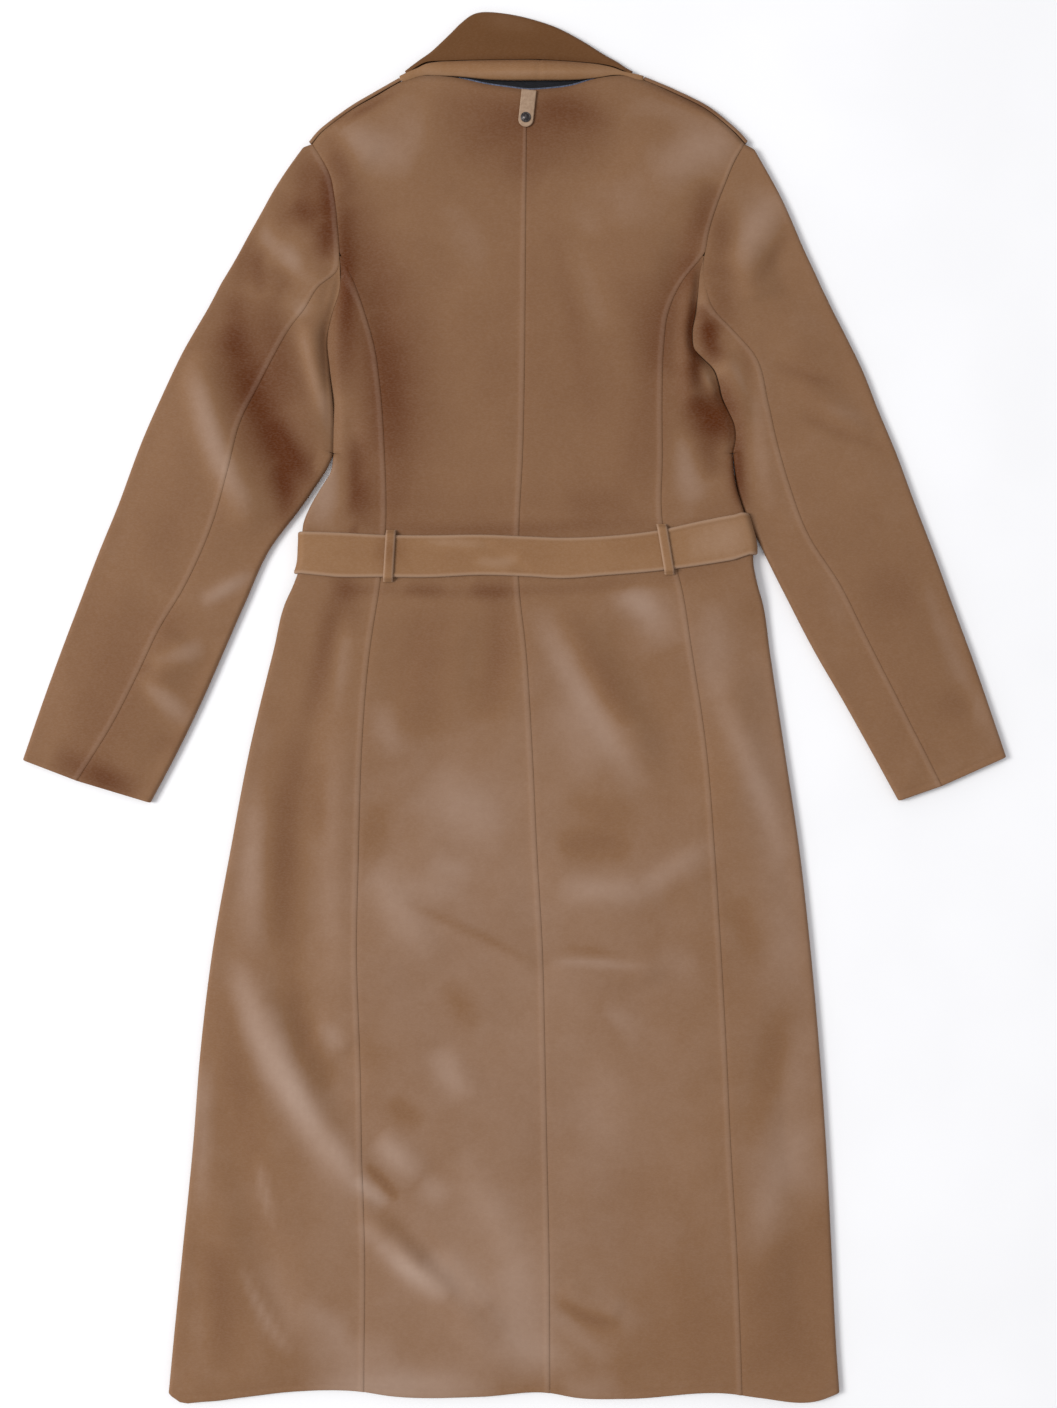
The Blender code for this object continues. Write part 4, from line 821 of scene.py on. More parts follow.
def wall_faces(cells):
    """Faces of a closed wall over a grid of cells, whose lower points follow all the upper ones."""
    rows, columns = np.array(cells.shape) + 1
    number = np.arange(rows * columns).reshape(rows, columns)
    r, c = np.nonzero(cells)
    ring = np.stack([number[r, c], number[r, c + 1], number[r + 1, c + 1], number[r + 1, c]], axis=1)
    faces = [ring, ring[:, ::-1] + rows * columns]
    kept = np.pad(cells, 1)
    for k, (down, right) in enumerate(((-1, 0), (0, 1), (1, 0), (0, -1))):
        open_side = ~kept[r + 1 + down, c + 1 + right]
        first, last = ring[open_side, k], ring[open_side, (k + 1) % 4]
        faces.append(np.stack([last, first, first + rows * columns, last + rows * columns], axis=1))
    return np.concatenate(faces)


def outward_first(points, faces):
    """The faces turned so that the closed mesh's volume is positive."""
    a, b, c, d = (points[faces[:, k]] for k in range(4))
    volume = np.sum(np.cross(b - a, c - a) * a) + np.sum(np.cross(c - a, d - a) * a)
    return faces if volume > 0 else faces[:, ::-1]


def painted_light_of(points, facing, place):
    """How much paler (painted highlight) or deeper (painted shade) the cloth is painted at each point. The
    underside's is the same, turned about, and fainter.
    """
    shown = fold_height(points[:, :2], place, PAINTED_LIGHT_STROKES, soft=True)
    under = fold_height(points[:, :2] * (-1, 1), place, PAINTED_LIGHT_STROKES, soft=True)
    return np.where(facing > 0, shown, UNDERSIDE_PAINT_SHARE * under)


def linked(name, data):
    """A new object in the scene that holds the data."""
    made = bpy.data.objects.new(name, data)
    bpy.context.scene.collection.objects.link(made)
    return made


def make_piece(name, points, faces, finish, slot, nodes=(), **tones):
    """A mesh object from points in millimetres, riding on the coat and standing for its CAD nodes."""
    data = bpy.data.meshes.new(name)
    data.from_pydata((points * MM).tolist(), [], [list(map(int, face)) for face in faces])
    data.shade_smooth()
    for tone, values in tones.items():
        data.attributes.new(tone, "FLOAT", "POINT").data.foreach_set("value", values.astype(np.float32))
    data.materials.append(finish)
    piece = linked(name, data)
    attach(piece, "root")
    if nodes:
        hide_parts(*nodes)
    return piece


def shell(name, finish, slot, node, middle, outward, thickness=CLOTH, cells=None, rub=None):
    """A closed wall of cloth: a grid's middle points moved out and in by half the thickness."""
    rows, columns = middle.shape[:2]
    if cells is None:
        cells = np.ones((rows - 1, columns - 1), bool)
    half = np.broadcast_to(thickness, (rows, columns))[..., None] / 2
    points = np.concatenate([(middle + way * outward * half).reshape(-1, 3) for way in (1, -1)])
    # The painted highlight on lapped bands and edges, stored for the shader
    tones = np.zeros(len(points)) if rub is None else np.tile(rub.ravel(), 2)
    facing = np.tile(np.broadcast_to(outward, middle.shape)[..., 2].ravel(), 2)
    place = "sleeve" if "sleeve" in name else "belt" if "belt" in name else "body"
    # Painted light and shade at each point, stored for the shader
    nap = painted_light_of(points, facing, place)
    used, faces = np.unique(wall_faces(cells), return_inverse=True)
    faces = outward_first(points[used], faces.reshape(-1, 4))
    return make_piece(name, points[used], faces, finish, slot, [node], rub=tones[used], nap=nap[used])


def tube(rings):
    """Points and faces of a closed round strip: one ring of points for each place along it."""
    rows, sides = rings.shape[:2]
    number = np.arange(rows * sides).reshape(rows, sides)
    after = np.roll(number, -1, axis=1)
    faces = np.stack([number[:-1], after[:-1], after[1:], number[1:]], axis=-1).reshape(-1, 4).tolist()
    first = rows * sides
    faces += [[first, after[0, k], number[0, k]] for k in range(sides)]
    faces += [[first + 1, number[-1, k], after[-1, k]] for k in range(sides)]
    return np.concatenate([rings.reshape(-1, 3), rings[:1].mean(axis=1), rings[-1:].mean(axis=1)]), faces


def raised(spots, heights):
    """Points in space from spots on the surface and their heights."""
    return np.concatenate([spots, heights[..., None]], axis=-1)


def leaning(slope):
    """Ways out of a layer that faces up and slopes along the coat."""
    return unit(np.stack([np.zeros_like(slope), -slope, np.ones_like(slope)], axis=-1))


def upright(spots):
    return leaning(np.zeros(spots.shape[:2]))


# Panels and sleeves. Each gives its middle points, ways out, thickness, kept cells and where a highlight is
# painted

def coons(bottom, top, first, last, shares):
    """Spots inside four edges: bottom and top run across, first and last run from bottom to top."""
    u = shares[None, :, None]
    v = np.linspace(0, 1, len(first))[:, None, None]
    ruled = bottom * (1 - v) + top * v + first[:, None] * (1 - u) + last[:, None] * u
    low = bottom[0] * (1 - u) + bottom[-1] * u
    high = top[0] * (1 - u) + top[-1] * u
    return ruled - low * (1 - v) - high * v


def fanned(level, shares, top, first, last):
    """Level rows under rows that fan up to a top edge, with the distances to both sides and to the hem."""
    upper = coons(level[0], top, first, last, shares[0])
    spots = np.concatenate([upper[:0:-1], level])
    shares = np.concatenate([np.broadcast_to(shares[0], (len(upper) - 1, shares.shape[1])), shares])
    width = reach(spots[:, 0], spots[:, -1])[:, None]
    from_hem = np.full(spots.shape[:2], np.inf)
    from_hem[len(upper) - 1 :] = (BODY_LEVELS - HEM)[:, None]
    return spots, shares * width, (1 - shares) * width, from_hem


def back_panel(side):
    """A centre back panel: level rows to the apex, then rows that fan up to shoulder and neck."""
    outer = sewn(side, seam_line(PRINCESS[side], BODY_LEVELS), -1)
    centre = sewn(side, seam_line(CENTRE_BACK, BODY_LEVELS), 1)
    shares = spread(reach(outer, centre), BACK_COLUMNS)
    nape = np.linspace(APEX, NECKS[side][-1, 1], len(CAP_LEVELS))
    armhole = sewn(side, join_line(side, CAP_LEVELS), -1)[::-1]
    spine = sewn(side, seam_line(CENTRE_BACK, nape[::-1]), 1)[::-1]
    armhole[0], spine[0] = outer[0], centre[0]
    top = through(np.vstack([SHOULDERS[side][:, :2], NECKS[side]]), shares[0])
    top[0], top[-1] = armhole[-1], spine[-1]
    found = fanned(mixed(outer, centre, shares), shares, top, armhole, spine)
    spots, from_outer, from_centre, from_hem = found
    laps = LAPS[f"back_{side}"]
    heights = top_middle(spots) + seam_height(from_outer, laps[0]) + seam_height(from_centre, laps[1])
    heights += seam_height(reach(spots, spots[:1]), "under") + turned_height(from_hem)
    # Lapped seam bands get a painted highlight
    rub = np.maximum(band_rub(from_outer, laps[0]), band_rub(from_centre, laps[1]))
    return raised(with_hem(spots), heights), upright(spots), CLOTH * rounded(from_hem), None, rub


def front_climb(spots):
    """How far the left front is raised where it lies on the right one."""
    before = 2 * FRONT_CENTRE - smooth(FRONT_EDGE, spots[..., 1]) - spots[..., 0]
    return FRONT_STEP * ease((FRONT_RAMP_FOOT - before) / (FRONT_RAMP_FOOT - FRONT_RAMP_TOP))


def front_panel(side):
    """Underside panel, with the stretch of it that rolls over the shoulder."""
    outer = sewn(side, side_seam(side, BODY_LEVELS), -1)
    free = front_edge(side, BODY_LEVELS)
    shares = spread(reach(outer, free), FRONT_COLUMNS)
    crease, fold = np.hsplit(through(SHOULDERS[side], shares[0]), 2)
    out = unit(fold - crease)
    radius = (EDGE_MIDDLE - BOTTOM_MIDDLE) / 2
    centre = fold - out * (radius + CLOTH / 2)
    armhole = sewn(side, join_line(side, CAP_LEVELS), -1)[::-1]
    neck = front_edge(side, np.linspace(APEX, FRONT_EDGE[-1, 0], len(CAP_LEVELS)))
    level = mixed(outer, free, shares)
    armhole[0], neck[0] = outer[0], level[0, -1]
    armhole[-1], neck[-1] = centre[0], centre[-1]
    spots, from_outer, from_free, from_hem = fanned(level, shares, centre, armhole, neck)
    spots = with_hem(spots, FRONT_HEM_SHORT)
    stitched = bump(from_free - TURN_WIDE, STITCH_WIDE)
    heights = bottom_middle(spots) + UNDERSIDE_DIP * np.maximum(bump(from_outer, UNDER_WIDE), stitched)
    if side == "left":
        heights += front_climb(spots)
    thick = CLOTH * rounded(np.minimum(from_free, from_hem))
    turn = np.linspace(np.pi / 2, -np.pi / 2, ROUND_CELLS + 1)[:-1, None]
    bend_heights = BOTTOM_MIDDLE + radius + radius * np.sin(turn) * np.ones(len(centre))
    spots = np.concatenate([centre + radius * np.cos(turn)[..., None] * out, spots])
    thick = np.concatenate([np.full(bend_heights.shape, CLOTH), thick])
    outward = np.zeros(spots.shape[:2] + (3,))
    outward[..., 2] = -1
    outward[: len(turn), :, :2] = np.cos(turn)[..., None] * out
    outward[: len(turn), :, 2] = np.sin(turn)
    return raised(spots, np.concatenate([bend_heights, heights])), outward, thick, None, None


def folded(start, edge, finish, columns, where, kind):
    """Rows of a wall that run across the top from start, round a fold at edge and back below to finish."""
    out = unit(edge - start)
    radius = (EDGE_MIDDLE - BOTTOM_MIDDLE) / 2 * np.ones(len(start))
    for _ in range(3):
        centre = edge - out * (radius[:, None] + CLOTH / 2)
        high, low = top_middle(centre, where), bottom_middle(centre, where)
        radius = (high - low) / 2
    width = reach(start, centre)
    top_shares = spread(width, columns[0], (True, False))
    bottom_shares = spread(reach(centre, finish), columns[1], (False, True))
    top, bottom = mixed(start, centre, top_shares), mixed(centre, finish, bottom_shares)
    narrow = ease(width / NARROW)[:, None]
    from_start = top_shares * width[:, None]
    from_finish = (1 - bottom_shares) * reach(centre, finish)[:, None]
    turn = np.linspace(np.pi / 2, -np.pi / 2, ROUND_CELLS + 1)[1:-1]
    turned_out = np.cos(turn)[None, :, None] * out[:, None]
    spots = np.concatenate([top, centre[:, None] + radius[:, None, None] * turned_out, bottom], axis=1)
    top_heights = top_middle(top, where) + narrow * seam_height(from_start, kind)
    bend_heights = ((high + low) / 2)[:, None] + radius[:, None] * np.sin(turn)
    bottom_heights = bottom_middle(bottom, where) + UNDERSIDE_DIP * bump(from_finish, UNDER_WIDE)
    heights = np.concatenate([top_heights, bend_heights, bottom_heights], axis=1)
    count = top.shape[1]
    bent = slice(count, count + len(turn))
    outward = np.zeros(spots.shape[:2] + (3,))
    outward[:, :count, 2] = 1
    outward[:, bent, :2] = turned_out
    outward[:, bent, 2] = np.sin(turn)
    outward[:, bent.stop :, 2] = -1
    # Painted highlight on the lapped band beside the seam
    rub = np.zeros(heights.shape)
    rub[:, :count] = narrow * band_rub(from_start, kind)
    return spots, heights, outward, rub, count, bottom.shape[1]


def open_armhole(found, start, edge, levels, columns, where, kind):
    """Flattens the rows beside the armhole, which run to the join unfolded, and gives the cells to keep."""
    spots, heights, _, _, count, bottom_count = found
    joined = int(np.sum(levels > UNDERARM))
    start, edge = start[:joined], edge[:joined]
    opened = ease((levels[:joined] - UNDERARM) / UNDERARM_OPENS)[:, None, None]
    width = reach(start, edge)
    shares = spread(width, columns[0], (True, False))
    top = (slice(0, joined), slice(0, count))
    spots[top] = mixed(start, edge, shares) * opened + spots[top] * (1 - opened)
    narrow, width = ease(width / NARROW)[:, None], width[:, None]
    heights[top] = top_middle(spots[top], where) + narrow * seam_height(shares * width, kind)
    heights[top] += narrow * seam_height((1 - shares) * width, "pressed")
    cells = np.ones((spots.shape[0] - 1, spots.shape[1] - 1), bool)
    cells[:joined, count - 1 :] = False
    if where == "sleeve":
        bottom = (slice(0, joined), slice(-bottom_count, None))
        flat = mixed(edge, start, spread(width[:, 0], columns[1], (False, True)))
        spots[bottom] = flat * opened + spots[bottom] * (1 - opened)
        cells[:joined, 1 - bottom_count :] = True
    return cells


def with_turned_end(found, levels, cells=None):
    """A folded piece with its hem or cuff turned and its rim rounded."""
    spots, heights, out, rub, count, _ = found
    from_end = (levels - levels[-1])[:, None]
    heights[:, :count] += turned_height(from_end)
    return raised(spots, heights), out, CLOTH * rounded(from_end) * np.ones(heights.shape), cells, rub


def side_back(side):
    start = sewn(side, seam_line(PRINCESS[side], BODY_LEVELS), 1)
    edge = sewn(side, body_edge(side, BODY_LEVELS), -1)
    finish = sewn(side, side_seam(side, BODY_LEVELS), 1)
    kind = LAPS[f"side_back_{side}"][0]
    found = folded(start, edge, finish, SIDE_COLUMNS, "body", kind)
    cells = open_armhole(found, start, edge, BODY_LEVELS, SIDE_COLUMNS, "body", kind)
    return with_turned_end((with_hem(found[0]), *found[1:]), BODY_LEVELS, cells)


def sleeve_levels(side):
    cuff = SLEEVES[side][0, 0]
    free = with_end_rows(levels_between(UNDERARM, cuff)[1:], cuff)
    return np.concatenate([CAP_LEVELS[:-1], SIDE_LEVELS, free])


def top_sleeve(side):
    levels = sleeve_levels(side)
    _, seam, outer = sleeve_lines(side, levels)
    start = sewn(side, seam, 1)
    kind = LAPS[f"top_sleeve_{side}"][0]
    return with_turned_end(folded(start, outer, start, TOP_SLEEVE_COLUMNS, "sleeve", kind), levels)


def under_sleeve(side):
    levels = sleeve_levels(side)
    inner, seam, _ = sleeve_lines(side, levels)
    kept = levels <= SEAM_START
    levels, start, edge = levels[kept], sewn(side, seam, -1)[kept], sewn(side, inner, 1)[kept]
    kind = LAPS[f"under_sleeve_{side}"][0]
    found = folded(start, edge, start, UNDER_SLEEVE_COLUMNS, "sleeve", kind)
    cells = open_armhole(found, start, edge, levels, UNDER_SLEEVE_COLUMNS, "sleeve", kind)
    return with_turned_end(found, levels, cells)


# Collar, neck and belt

def collar():
    """The turned-up fall: its showing face, its outer fold and the layer under it, tucked below the band."""
    along = np.linspace(0, 1, COLLAR_ROWS + 1)
    start, edge = np.hsplit(through(COLLAR, along), 2)
    full = ease(np.minimum(along, 1 - along) / COLLAR_TAPER)
    finish = start.copy()
    finish[:, 1] -= COLLAR_END_TUCK + (COLLAR_TUCK - COLLAR_END_TUCK) * full
    spots, heights, out, rub, _, _ = folded(start, edge, finish, COLLAR_COLUMNS, "collar", "none")
    return raised(spots, heights), out, CLOTH, None, rub


def collar_band():
    """The rolled band at the collar's foot: an arch along the neck, joined at the middle of the back."""
    across = np.linspace(BAND[0, 0], BAND[-1, 0], BAND_ROWS + 1)
    low, high = (pairs(across, smooth(BAND, across, k)) for k in (1, 2))
    s = np.linspace(0, 1, BAND_COLUMNS + 1)
    spots = mixed(low, high, s)
    wide = (high - low)[:, 1]
    arch = BAND_HIGH * (wide / wide.max()) ** 2
    heights = top_middle(spots, "collar") + arch[:, None] * np.sin(np.pi * s) ** BAND_FULL
    heights -= BAND_JOIN_LOW * bump(spots[..., 0] - BAND_JOIN, BAND_JOIN_WIDE)
    slope = np.gradient(heights, axis=1) / np.gradient(spots[..., 1], axis=1)
    return raised(spots, heights), leaning(slope), CLOTH, None, None


def neckline(across):
    return smooth(np.vstack([NECK_LEFT, NECK_RIGHT[-2::-1]]), across)


def neck_lining():
    """The dark strip that shows in the open neck, under the back's neck edge."""
    across = np.linspace(*LINING_ACROSS, LINING_ROWS)
    low = pairs(across, neckline(across) - LINING_TUCK)
    high = pairs(across, np.full(len(across), LINING_TOP))
    spots = mixed(low, high, np.linspace(0, 1, LINING_COLUMNS + 1))
    below = CLOTH / 2 + TAB_GAP + LINING / 2
    return raised(spots, top_middle(spots) - below), upright(spots), LINING, None, None


def lining_rim():
    """The slate-blue edging that binds the back's neck edge, a thin round strip."""
    across = np.linspace(LINING_ACROSS[0] + RIM_IN, LINING_ACROSS[1] - RIM_IN, RIM_ROWS)
    up = neckline(across) + RIM_RADIUS * RIM_UP
    level = top_middle(pairs(across, up)) + CLOTH / 2 - RIM_RADIUS
    full = ease(np.minimum(across - across[0], across[-1] - across) / RIM_TAPER)
    radius = RIM_RADIUS * (RIM_TIP + (1 - RIM_TIP) * full)
    rings = []
    for turn in np.linspace(0, 2 * np.pi, RIM_SIDES + 1)[:-1]:
        rings.append(np.column_stack([across, up + radius * np.cos(turn), level + radius * np.sin(turn)]))
    return tube(np.stack(rings, axis=1))


def belt_relief(across, up, from_edge, rise):
    """The belt's stitched lines and, where it doesn't lie on the surface, its rolled edges and dents."""
    roll = BELT_ROLL if rise > 0 else 0.0
    relief = roll * bump(from_edge - BELT_ROLL_WIDE / 2, BELT_ROLL_WIDE / 2)
    relief -= BELT_STITCH_LOW * bump(from_edge - BELT_STITCH_IN, BELT_STITCH_WIDE)
    dents = fold_height(np.stack([across, up], axis=-1), "belt", BELT_DENTS)
    return relief + dents if rise == 1.0 else relief


def belt_row(across, height, out=0.0, rise=1.0, up=None):
    """One row over the belt's width: each point's place, the way it looks and its distance to the edge."""
    shares = spread(BELT_SPREAD, BELT_COLUMNS)[0]
    across = np.broadcast_to(across, len(shares))
    low, high = (smooth(BELT, across, k) for k in (1, 2))
    if up is None:
        up = low * (1 - shares) + high * shares
    from_edge = np.minimum(shares, 1 - shares) * (high - low)
    row = (across, up, height + rise * belt_relief(across, up, from_edge, rise), out, 0.0, rise, from_edge)
    return np.stack(np.broadcast_arrays(*row), axis=-1)


def belt_half(side, back_height):
    """The belt's rows from its end under the fronts to where it lies on the back."""
    outward = OUTWARD[side]
    up = belt_row(BELT[0 if side == "left" else -1, 0], 0.0)[:, 1]
    fold_out = (EDGE_MIDDLE - BOTTOM_MIDDLE) / 2 + CLOTH / 2
    centre = body_edge(side, up[::-1])[::-1, 0] - outward * fold_out
    end = FRONT_CENTRE + outward * BELT_END_GAP / 2
    radius = (back_height - BELT_THICK / 2) / 2
    rows = []
    for share in np.linspace(0, 1, BELT_FRONT_ROWS + 1)[:-1]:
        rows.append(belt_row(end * (1 - share) + centre * share, BELT_THICK / 2, rise=-1.0))
    for angle in np.linspace(-np.pi / 2, np.pi / 2, BELT_TURNS + 1):
        out = outward * np.cos(angle)
        height = BELT_THICK / 2 + radius + radius * np.sin(angle)
        rows.append(belt_row(centre + radius * out, height, out, np.sin(angle), up))
    return rows


def belt():
    """A strip round the waist: under the fronts, round both sides and across the back."""
    height = EDGE_MIDDLE + BELT_LIFT + CLOTH / 2 + LAY_GAP + BELT_THICK / 2
    stations = np.linspace(BELT[1, 0], BELT[-2, 0], BELT_BACK_ROWS + 1)
    back = [belt_row(across, height) for across in stations]
    grid = np.array(belt_half("left", height) + back + belt_half("right", height)[::-1])
    thick = BELT_THICK * rounded(grid[..., 6], BELT_THICK)
    # The belt's edges get a painted highlight
    return grid[..., :3], grid[..., 3:6], thick, None, bump(grid[..., 6], BELT_HIGHLIGHT_WIDE)


def belt_loop(side):
    """A strap sewn above and below the belt that stands over it."""
    top_across, top_up, bottom_across, bottom_up = LOOPS[side]
    lower, upper = (smooth(BELT, (top_across + bottom_across) / 2, k) for k in (1, 2))
    low = EDGE_MIDDLE + BELT_LIFT + CLOTH + LAY_GAP
    up = np.linspace(upper + LOOP_FOOT, lower - LOOP_FOOT, LOOP_ROWS + 1)
    beyond = np.maximum(up - upper, lower - up)
    height = low + (BELT_THICK + LAY_GAP) * ease((LOOP_RISE - beyond) / (LOOP_RISE + LOOP_SLACK))
    across = bottom_across + (top_across - bottom_across) * (up - bottom_up) / (top_up - bottom_up)
    width = np.linspace(-0.5, 0.5, LOOP_COLUMNS + 1) * LOOP_WIDTH
    spots = np.stack(np.broadcast_arrays(across[:, None] + width, up[:, None]), axis=-1)
    from_edge = np.broadcast_to(LOOP_WIDTH / 2 - np.abs(width), spots.shape[:2])
    heights = height[:, None] + LOOP_CROWN * ease(from_edge / LOOP_CROWN_WIDE)
    slope = np.gradient(height, up)[:, None] * np.ones(heights.shape)
    # The loop's edges get a painted highlight
    rub = bump(from_edge, LOOP_HIGHLIGHT_WIDE)
    return raised(spots, heights), leaning(slope), CLOTH * rounded(from_edge), None, rub


def tab_height(spots):
    return top_middle(spots) + CLOTH / 2 + TAB_GAP + TAB_THICK / 2


def neck_tab():
    """A short leather strap with a round end that hangs from the nape over the centre back seam."""
    aside = np.array([-TAB_RUN[1], TAB_RUN[0]])
    half = TAB_WIDTH / 2
    straight = TAB_LENGTH - half
    turns = np.linspace(0, TAB_TURN, TAB_TURNS + 1)[1:]
    run = np.concatenate([np.linspace(0, straight, TAB_ROWS), straight + half * np.sin(turns)])
    side_reach = np.concatenate([np.full(TAB_ROWS, half), half * np.cos(turns)])[:, None]
    width = np.sin(np.linspace(-np.pi / 2, np.pi / 2, TAB_COLUMNS + 1))
    spots = (TAB_TOP + run[:, None] * TAB_RUN)[:, None] + (side_reach * width)[..., None] * aside
    from_edge = np.minimum(side_reach * (1 - np.abs(width)), (TAB_LENGTH - run)[:, None])
    heights = tab_height(spots) - TAB_STITCH_LOW * bump(from_edge - TAB_STITCH_IN, TAB_STITCH_WIDE)
    return raised(spots, heights), upright(spots), TAB_THICK * rounded(from_edge, TAB_ROUND), None, None


def tab_snap():
    """The press stud's dome: a flat rim, a groove and a low crown."""
    base = float(tab_height(SNAP_SPOT[None])[0]) + TAB_THICK / 2
    turns = np.linspace(0, 2 * np.pi, SNAP_SIDES + 1)[:-1]
    circle = np.column_stack([np.cos(turns), np.sin(turns)]) * SNAP_RADIUS
    rings = [raised(circle * share + SNAP_SPOT, np.full(len(turns), base + SNAP_HEIGHT * rise))
             for share, rise in SNAP_PROFILE]
    return tube(np.stack(rings))


# Finishes

def linear(red, green, blue):
    """Colour of a shader from a colour as a screen shows it, 0 to 255."""
    shown = np.array([red, green, blue]) / 255
    made = np.where(shown <= 0.04045, shown / 12.92, ((shown + 0.055) / 1.055) ** 2.4)
    return (*made.tolist(), 1.0)


class Finish:
    """A material under construction, with short names for the nodes that it needs."""

    def __init__(self, name, roughness, **sockets):
        self.made = bpy.data.materials.new(name)
        self.made.use_nodes = True
        self.tree = self.made.node_tree
        self.shader = self.tree.nodes["Principled BSDF"]
        self.put(roughness, self.shader.inputs["Roughness"])
        for socket, value in sockets.items():
            self.put(value, self.shader.inputs[socket.replace("_", " ")])
        self.coordinates = self.node("TexCoord", "Object", {})

    def put(self, value, socket):
        """Links an output to a socket, or sets the socket to a constant."""
        if isinstance(value, bpy.types.NodeSocket):
            self.tree.links.new(value, socket)
        else:
            socket.default_value = value

    def node(self, kind, output, inputs, **settings):
        made = self.tree.nodes.new("ShaderNode" + kind)
        for name, value in settings.items():
            setattr(made, name, value)
        for socket, value in inputs.items():
            self.put(value, made.inputs[socket])
        return made.outputs[output]

    def noise(self, scale, detail=2.0, stretch=(1, 1, 1), turn=0.0, rough=0.5):
        placing = {"Scale": stretch, "Rotation": (0, 0, np.radians(turn)), "Vector": self.coordinates}
        placed = self.node("Mapping", "Vector", placing)
        inputs = {"Scale": scale, "Detail": detail, "Roughness": rough, "Vector": placed}
        return self.node("TexNoise", "Fac", inputs)

    def attribute(self, name):
        return self.node("Attribute", "Fac", {}, attribute_name=name)

    def math(self, operation, first, second=0.0):
        return self.node("Math", "Value", {0: first, 1: second}, operation=operation)

    def span(self, value, low, high, to_low=0.0, to_high=1.0):
        """The value's stretch from low to high, spread from to_low to to_high and held there."""
        numbers = dict(enumerate((value, low, high, to_low, to_high)))
        return self.node("MapRange", "Result", numbers, interpolation_type="SMOOTHSTEP")

    def mix(self, share, first, second):
        return self.node("Mix", "Result", {"Factor": share, "A": first, "B": second}, data_type="RGBA")

    def bump(self, height, distance, strength=1.0, under=None):
        inputs = {"Distance": distance * MM, "Strength": strength, "Height": height}
        if under is not None:
            inputs["Normal"] = under
        return self.node("Bump", "Normal", inputs)

    def done(self, colour, normal=None, roughness=None):
        for socket, value in (("Base Color", colour), ("Normal", normal), ("Roughness", roughness)):
            if value is not None:
                self.put(value, self.shader.inputs[socket])
        return self.made


def wool(name, shades, sheen, grain=0.0, rubbed=0.12):
    """Felted wool: brushed fibres that run down the piece, cloudy at random, with light and shade painted in
    from the points' values: paler sheen highlights, deeper shade, and highlights on lapped bands and edges.
    """
    finish = Finish(name, WOOL_ROUGH, Sheen_Weight=sheen, Sheen_Roughness=0.45, Specular_IOR_Level=0.1,
                    Sheen_Tint=linear(*SHEEN_SHADE))
    deep, middle, pale = (linear(*shade) for shade in shades)
    clouds = finish.noise(7.0)
    patches = finish.noise(38.0, 3.0, turn=20)
    mottle = finish.noise(190.0, 3.0, turn=grain)
    fibres = finish.noise(900.0, 3.0, stretch=(0.45, 1, 1), turn=grain + 8, rough=0.6)
    fuzz = finish.noise(1700.0, turn=40)
    unevenness = finish.span(patches, 0.25, 0.75, -NAP_MOTTLE, NAP_MOTTLE)
    # Painted light and shade from the points, plus a random mottle
    nap = finish.math("ADD", finish.attribute("nap"), unevenness)
    paler = finish.math("MULTIPLY", finish.math("MAXIMUM", nap, 0.0), PAINTED_SHEEN_SHARE)
    deeper = finish.math("MAXIMUM", finish.math("MULTIPLY", nap, -1.0), 0.0)
    deeper = finish.math("MULTIPLY", deeper, PAINTED_SHADE_SHARE)
    colour = finish.mix(finish.span(clouds, 0.30, 0.70, 0.92, 1.0), deep, middle)
    for share, shade in (
        # Painted sheen highlight towards the pale shade, painted shade towards the deep one
        (finish.math("MINIMUM", paler, 1.0), pale),
        (finish.math("MINIMUM", deeper, 1.0), deep),
        (finish.span(mottle, 0.30, 0.70, 0.0, 0.05), deep),
        (finish.span(fibres, 0.36, 0.70, 0.0, 0.08), pale),
        (finish.span(fuzz, 0.55, 0.75, 0.0, 0.06), deep),
        # Painted highlight on lapped bands and edges
        (finish.math("MULTIPLY", finish.attribute("rub"), rubbed), pale),
    ):
        colour = finish.mix(share, colour, shade)
    normal = finish.bump(patches, 0.6, 0.3)
    normal = finish.bump(mottle, 0.16, 0.5, normal)
    normal = finish.bump(fibres, 0.07, 0.6, normal)
    return finish.done(colour, normal, finish.span(fibres, 0.3, 0.7, WOOL_ROUGH + 0.06, WOOL_ROUGH - 0.06))


def lining_cloth():
    """Near-black woven lining with a faint satin line."""
    finish = Finish("lining_cloth", 0.5, Sheen_Weight=0.02, Specular_IOR_Level=0.2)
    threads = finish.noise(1400.0, 1.0, stretch=(0.15, 1, 1))
    colour = finish.mix(finish.span(threads, 0.35, 0.7), linear(9, 9, 13), linear(20, 21, 28))
    return finish.done(colour, finish.bump(threads, 0.08))


def rim_cloth():
    """Slate-blue edging with fine cross ribs."""
    finish = Finish("rim_cloth", 0.6, Sheen_Weight=0.2)
    ribs = finish.noise(1100.0, 1.0, stretch=(1, 0.3, 1))
    colour = finish.mix(finish.span(ribs, 0.35, 0.7), linear(52, 60, 80), linear(84, 93, 116))
    return finish.done(colour, finish.bump(ribs, 0.12))


def leather():
    """Matt pale leather with pores and faint wrinkles."""
    finish = Finish("tab_skin", 0.55, Specular_IOR_Level=0.4)
    wrinkles = finish.noise(300.0, 3.0)
    pores = finish.noise(2600.0)
    colour = finish.mix(finish.span(wrinkles, 0.3, 0.7), linear(146, 118, 94), linear(160, 133, 108))
    colour = finish.mix(finish.span(pores, 0.58, 0.72, 0.0, 0.25), colour, linear(110, 84, 64))
    # Painted highlight where the points carry one; it is zero on the tab
    colour = finish.mix(finish.math("MULTIPLY", finish.attribute("rub"), 0.5), colour, linear(172, 146, 122))
    return finish.done(colour, finish.bump(pores, 0.04, 0.5, finish.bump(wrinkles, 0.05, 0.5)))


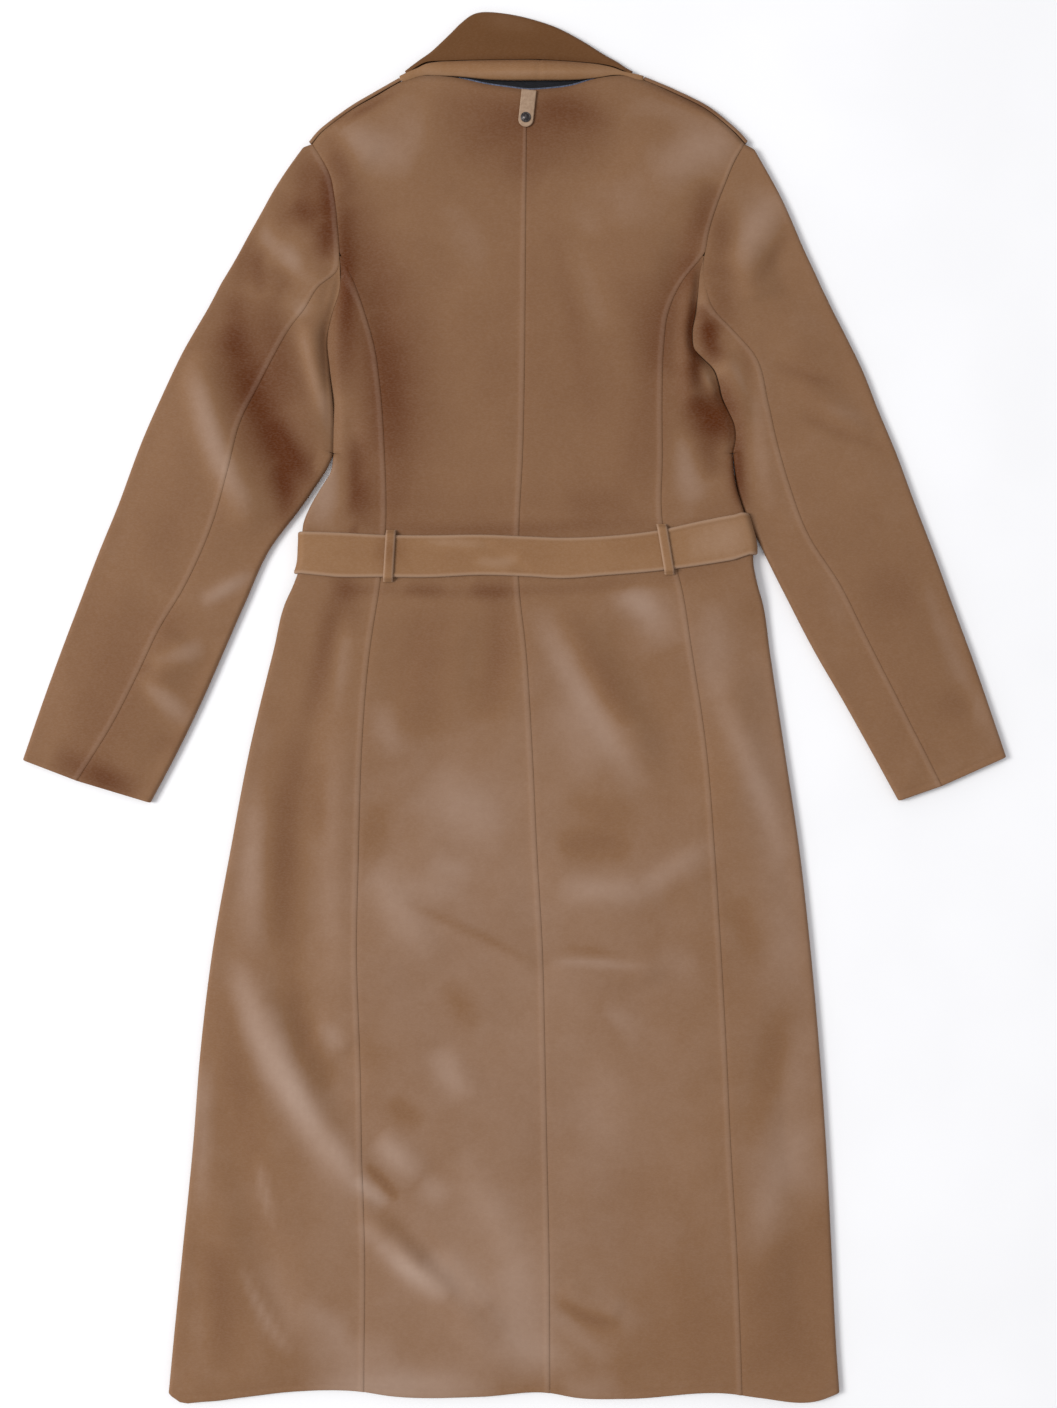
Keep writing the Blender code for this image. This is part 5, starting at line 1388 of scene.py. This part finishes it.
def gunmetal():
    """Dark plated metal, lightly scuffed."""
    finish = Finish("snap_plate", 0.34, Metallic=1.0)
    scuffs = finish.noise(900.0, 3.0, stretch=(1, 0.3, 1), turn=30)
    colour = finish.mix(finish.span(scuffs, 0.4, 0.7), linear(66, 62, 62), linear(96, 92, 90))
    return finish.done(colour, None, finish.span(scuffs, 0.35, 0.7, 0.28, 0.46))


def floor_paint():
    """A pale, even surface."""
    finish = Finish("pale_floor", 0.9)
    share = finish.span(finish.noise(6.0), 0.3, 0.7)
    return finish.done(finish.mix(share, *(linear(*shade) for shade in FLOOR_SHADES)))


# Stage

def make_floor():
    data = bpy.data.meshes.new("floor")
    wide = FLOOR_HALF * MM
    corners = [(-wide, -wide, 0), (wide, -wide, 0), (wide, wide, 0), (-wide, wide, 0)]
    data.from_pydata(corners, [], [(0, 1, 2, 3)])
    data.materials.append(floor_paint())
    floor = linked("floor", data)
    floor.location.z = FLOOR_LEVEL * MM


def make_light(name, power, size, azimuth, elevation, distance):
    """A square soft light that faces the coat's middle. Azimuth turns from +X towards +Y."""
    data = bpy.data.lights.new(name, "AREA")
    data.energy = power
    data.size = size
    lamp = linked(name, data)
    around, high = np.radians(azimuth), np.radians(elevation)
    way = (np.cos(around) * np.cos(high), np.sin(around) * np.cos(high), np.sin(high))
    lamp.location = np.array(way) * distance
    lamp.rotation_mode = "QUATERNION"
    lamp.rotation_quaternion = lamp.location.to_track_quat("Z", "Y")


def make_camera():
    data = bpy.data.cameras.new("camera")
    data.sensor_width = SENSOR
    data.lens = LENS
    camera = linked("camera", data)
    camera.location = np.array([*VIEW_CENTRE, CLOTH_LEVEL + VIEW_TALL * LENS / SENSOR]) * MM
    bpy.context.scene.camera = camera


def light_scene():
    world = bpy.data.worlds.new("studio")
    world.use_nodes = True
    background = world.node_tree.nodes["Background"]
    background.inputs["Color"].default_value = linear(*WORLD_SHADE)
    background.inputs["Strength"].default_value = WORLD_STRENGTH
    bpy.context.scene.world = world
    for light in LIGHTS:
        make_light(*light)
    bpy.context.scene.view_settings.view_transform = "Standard"


def main():
    coat_wool = wool("coat_wool_cloth", COAT_SHADES, WOOL_SHEEN)
    # Belt, loops and band: the coat's wool painted lighter for the light on them; collar: painted darker for
    # shade
    belt_wool = wool("lit_belt_wool_cloth", LIT_BELT_SHADES, WOOL_SHEEN, grain=90, rubbed=0.5)
    collar_wool = wool("shaded_collar_wool_cloth", SHADED_COLLAR_SHADES, WOOL_SHEEN * 0.6, grain=90)
    band_wool = wool("lit_band_wool_cloth", LIT_BELT_SHADES, WOOL_SHEEN, grain=90)
    panels = (back_panel, side_back, front_panel, top_sleeve, under_sleeve)
    for side in ("left", "right"):
        for build in panels:
            node = f"{build.__name__.removesuffix('_panel')}_{side}"
            shell(f"{node}_cloth", coat_wool, "coat_wool", node, *build(side))
        node = f"belt_loop_{side}"
        shell(f"{node}_cloth", belt_wool, "belt_wool", node, *belt_loop(side))
    for build, finish, slot in (
        (collar, collar_wool, "coat_wool"),
        (collar_band, band_wool, "coat_wool"),
        (neck_lining, lining_cloth(), "neck_lining"),
        (belt, belt_wool, "belt_wool"),
        (neck_tab, leather(), "tab_leather"),
    ):
        node = build.__name__
        shell(f"{node}_skin", finish, slot, node, *build())
    make_piece("neck_lining_rim", *lining_rim(), rim_cloth(), "neck_lining")
    make_piece("tab_snap_dome", *tab_snap(), gunmetal(), "snap_metal", ["tab_snap"])
    make_floor()
    make_camera()
    light_scene()


main()
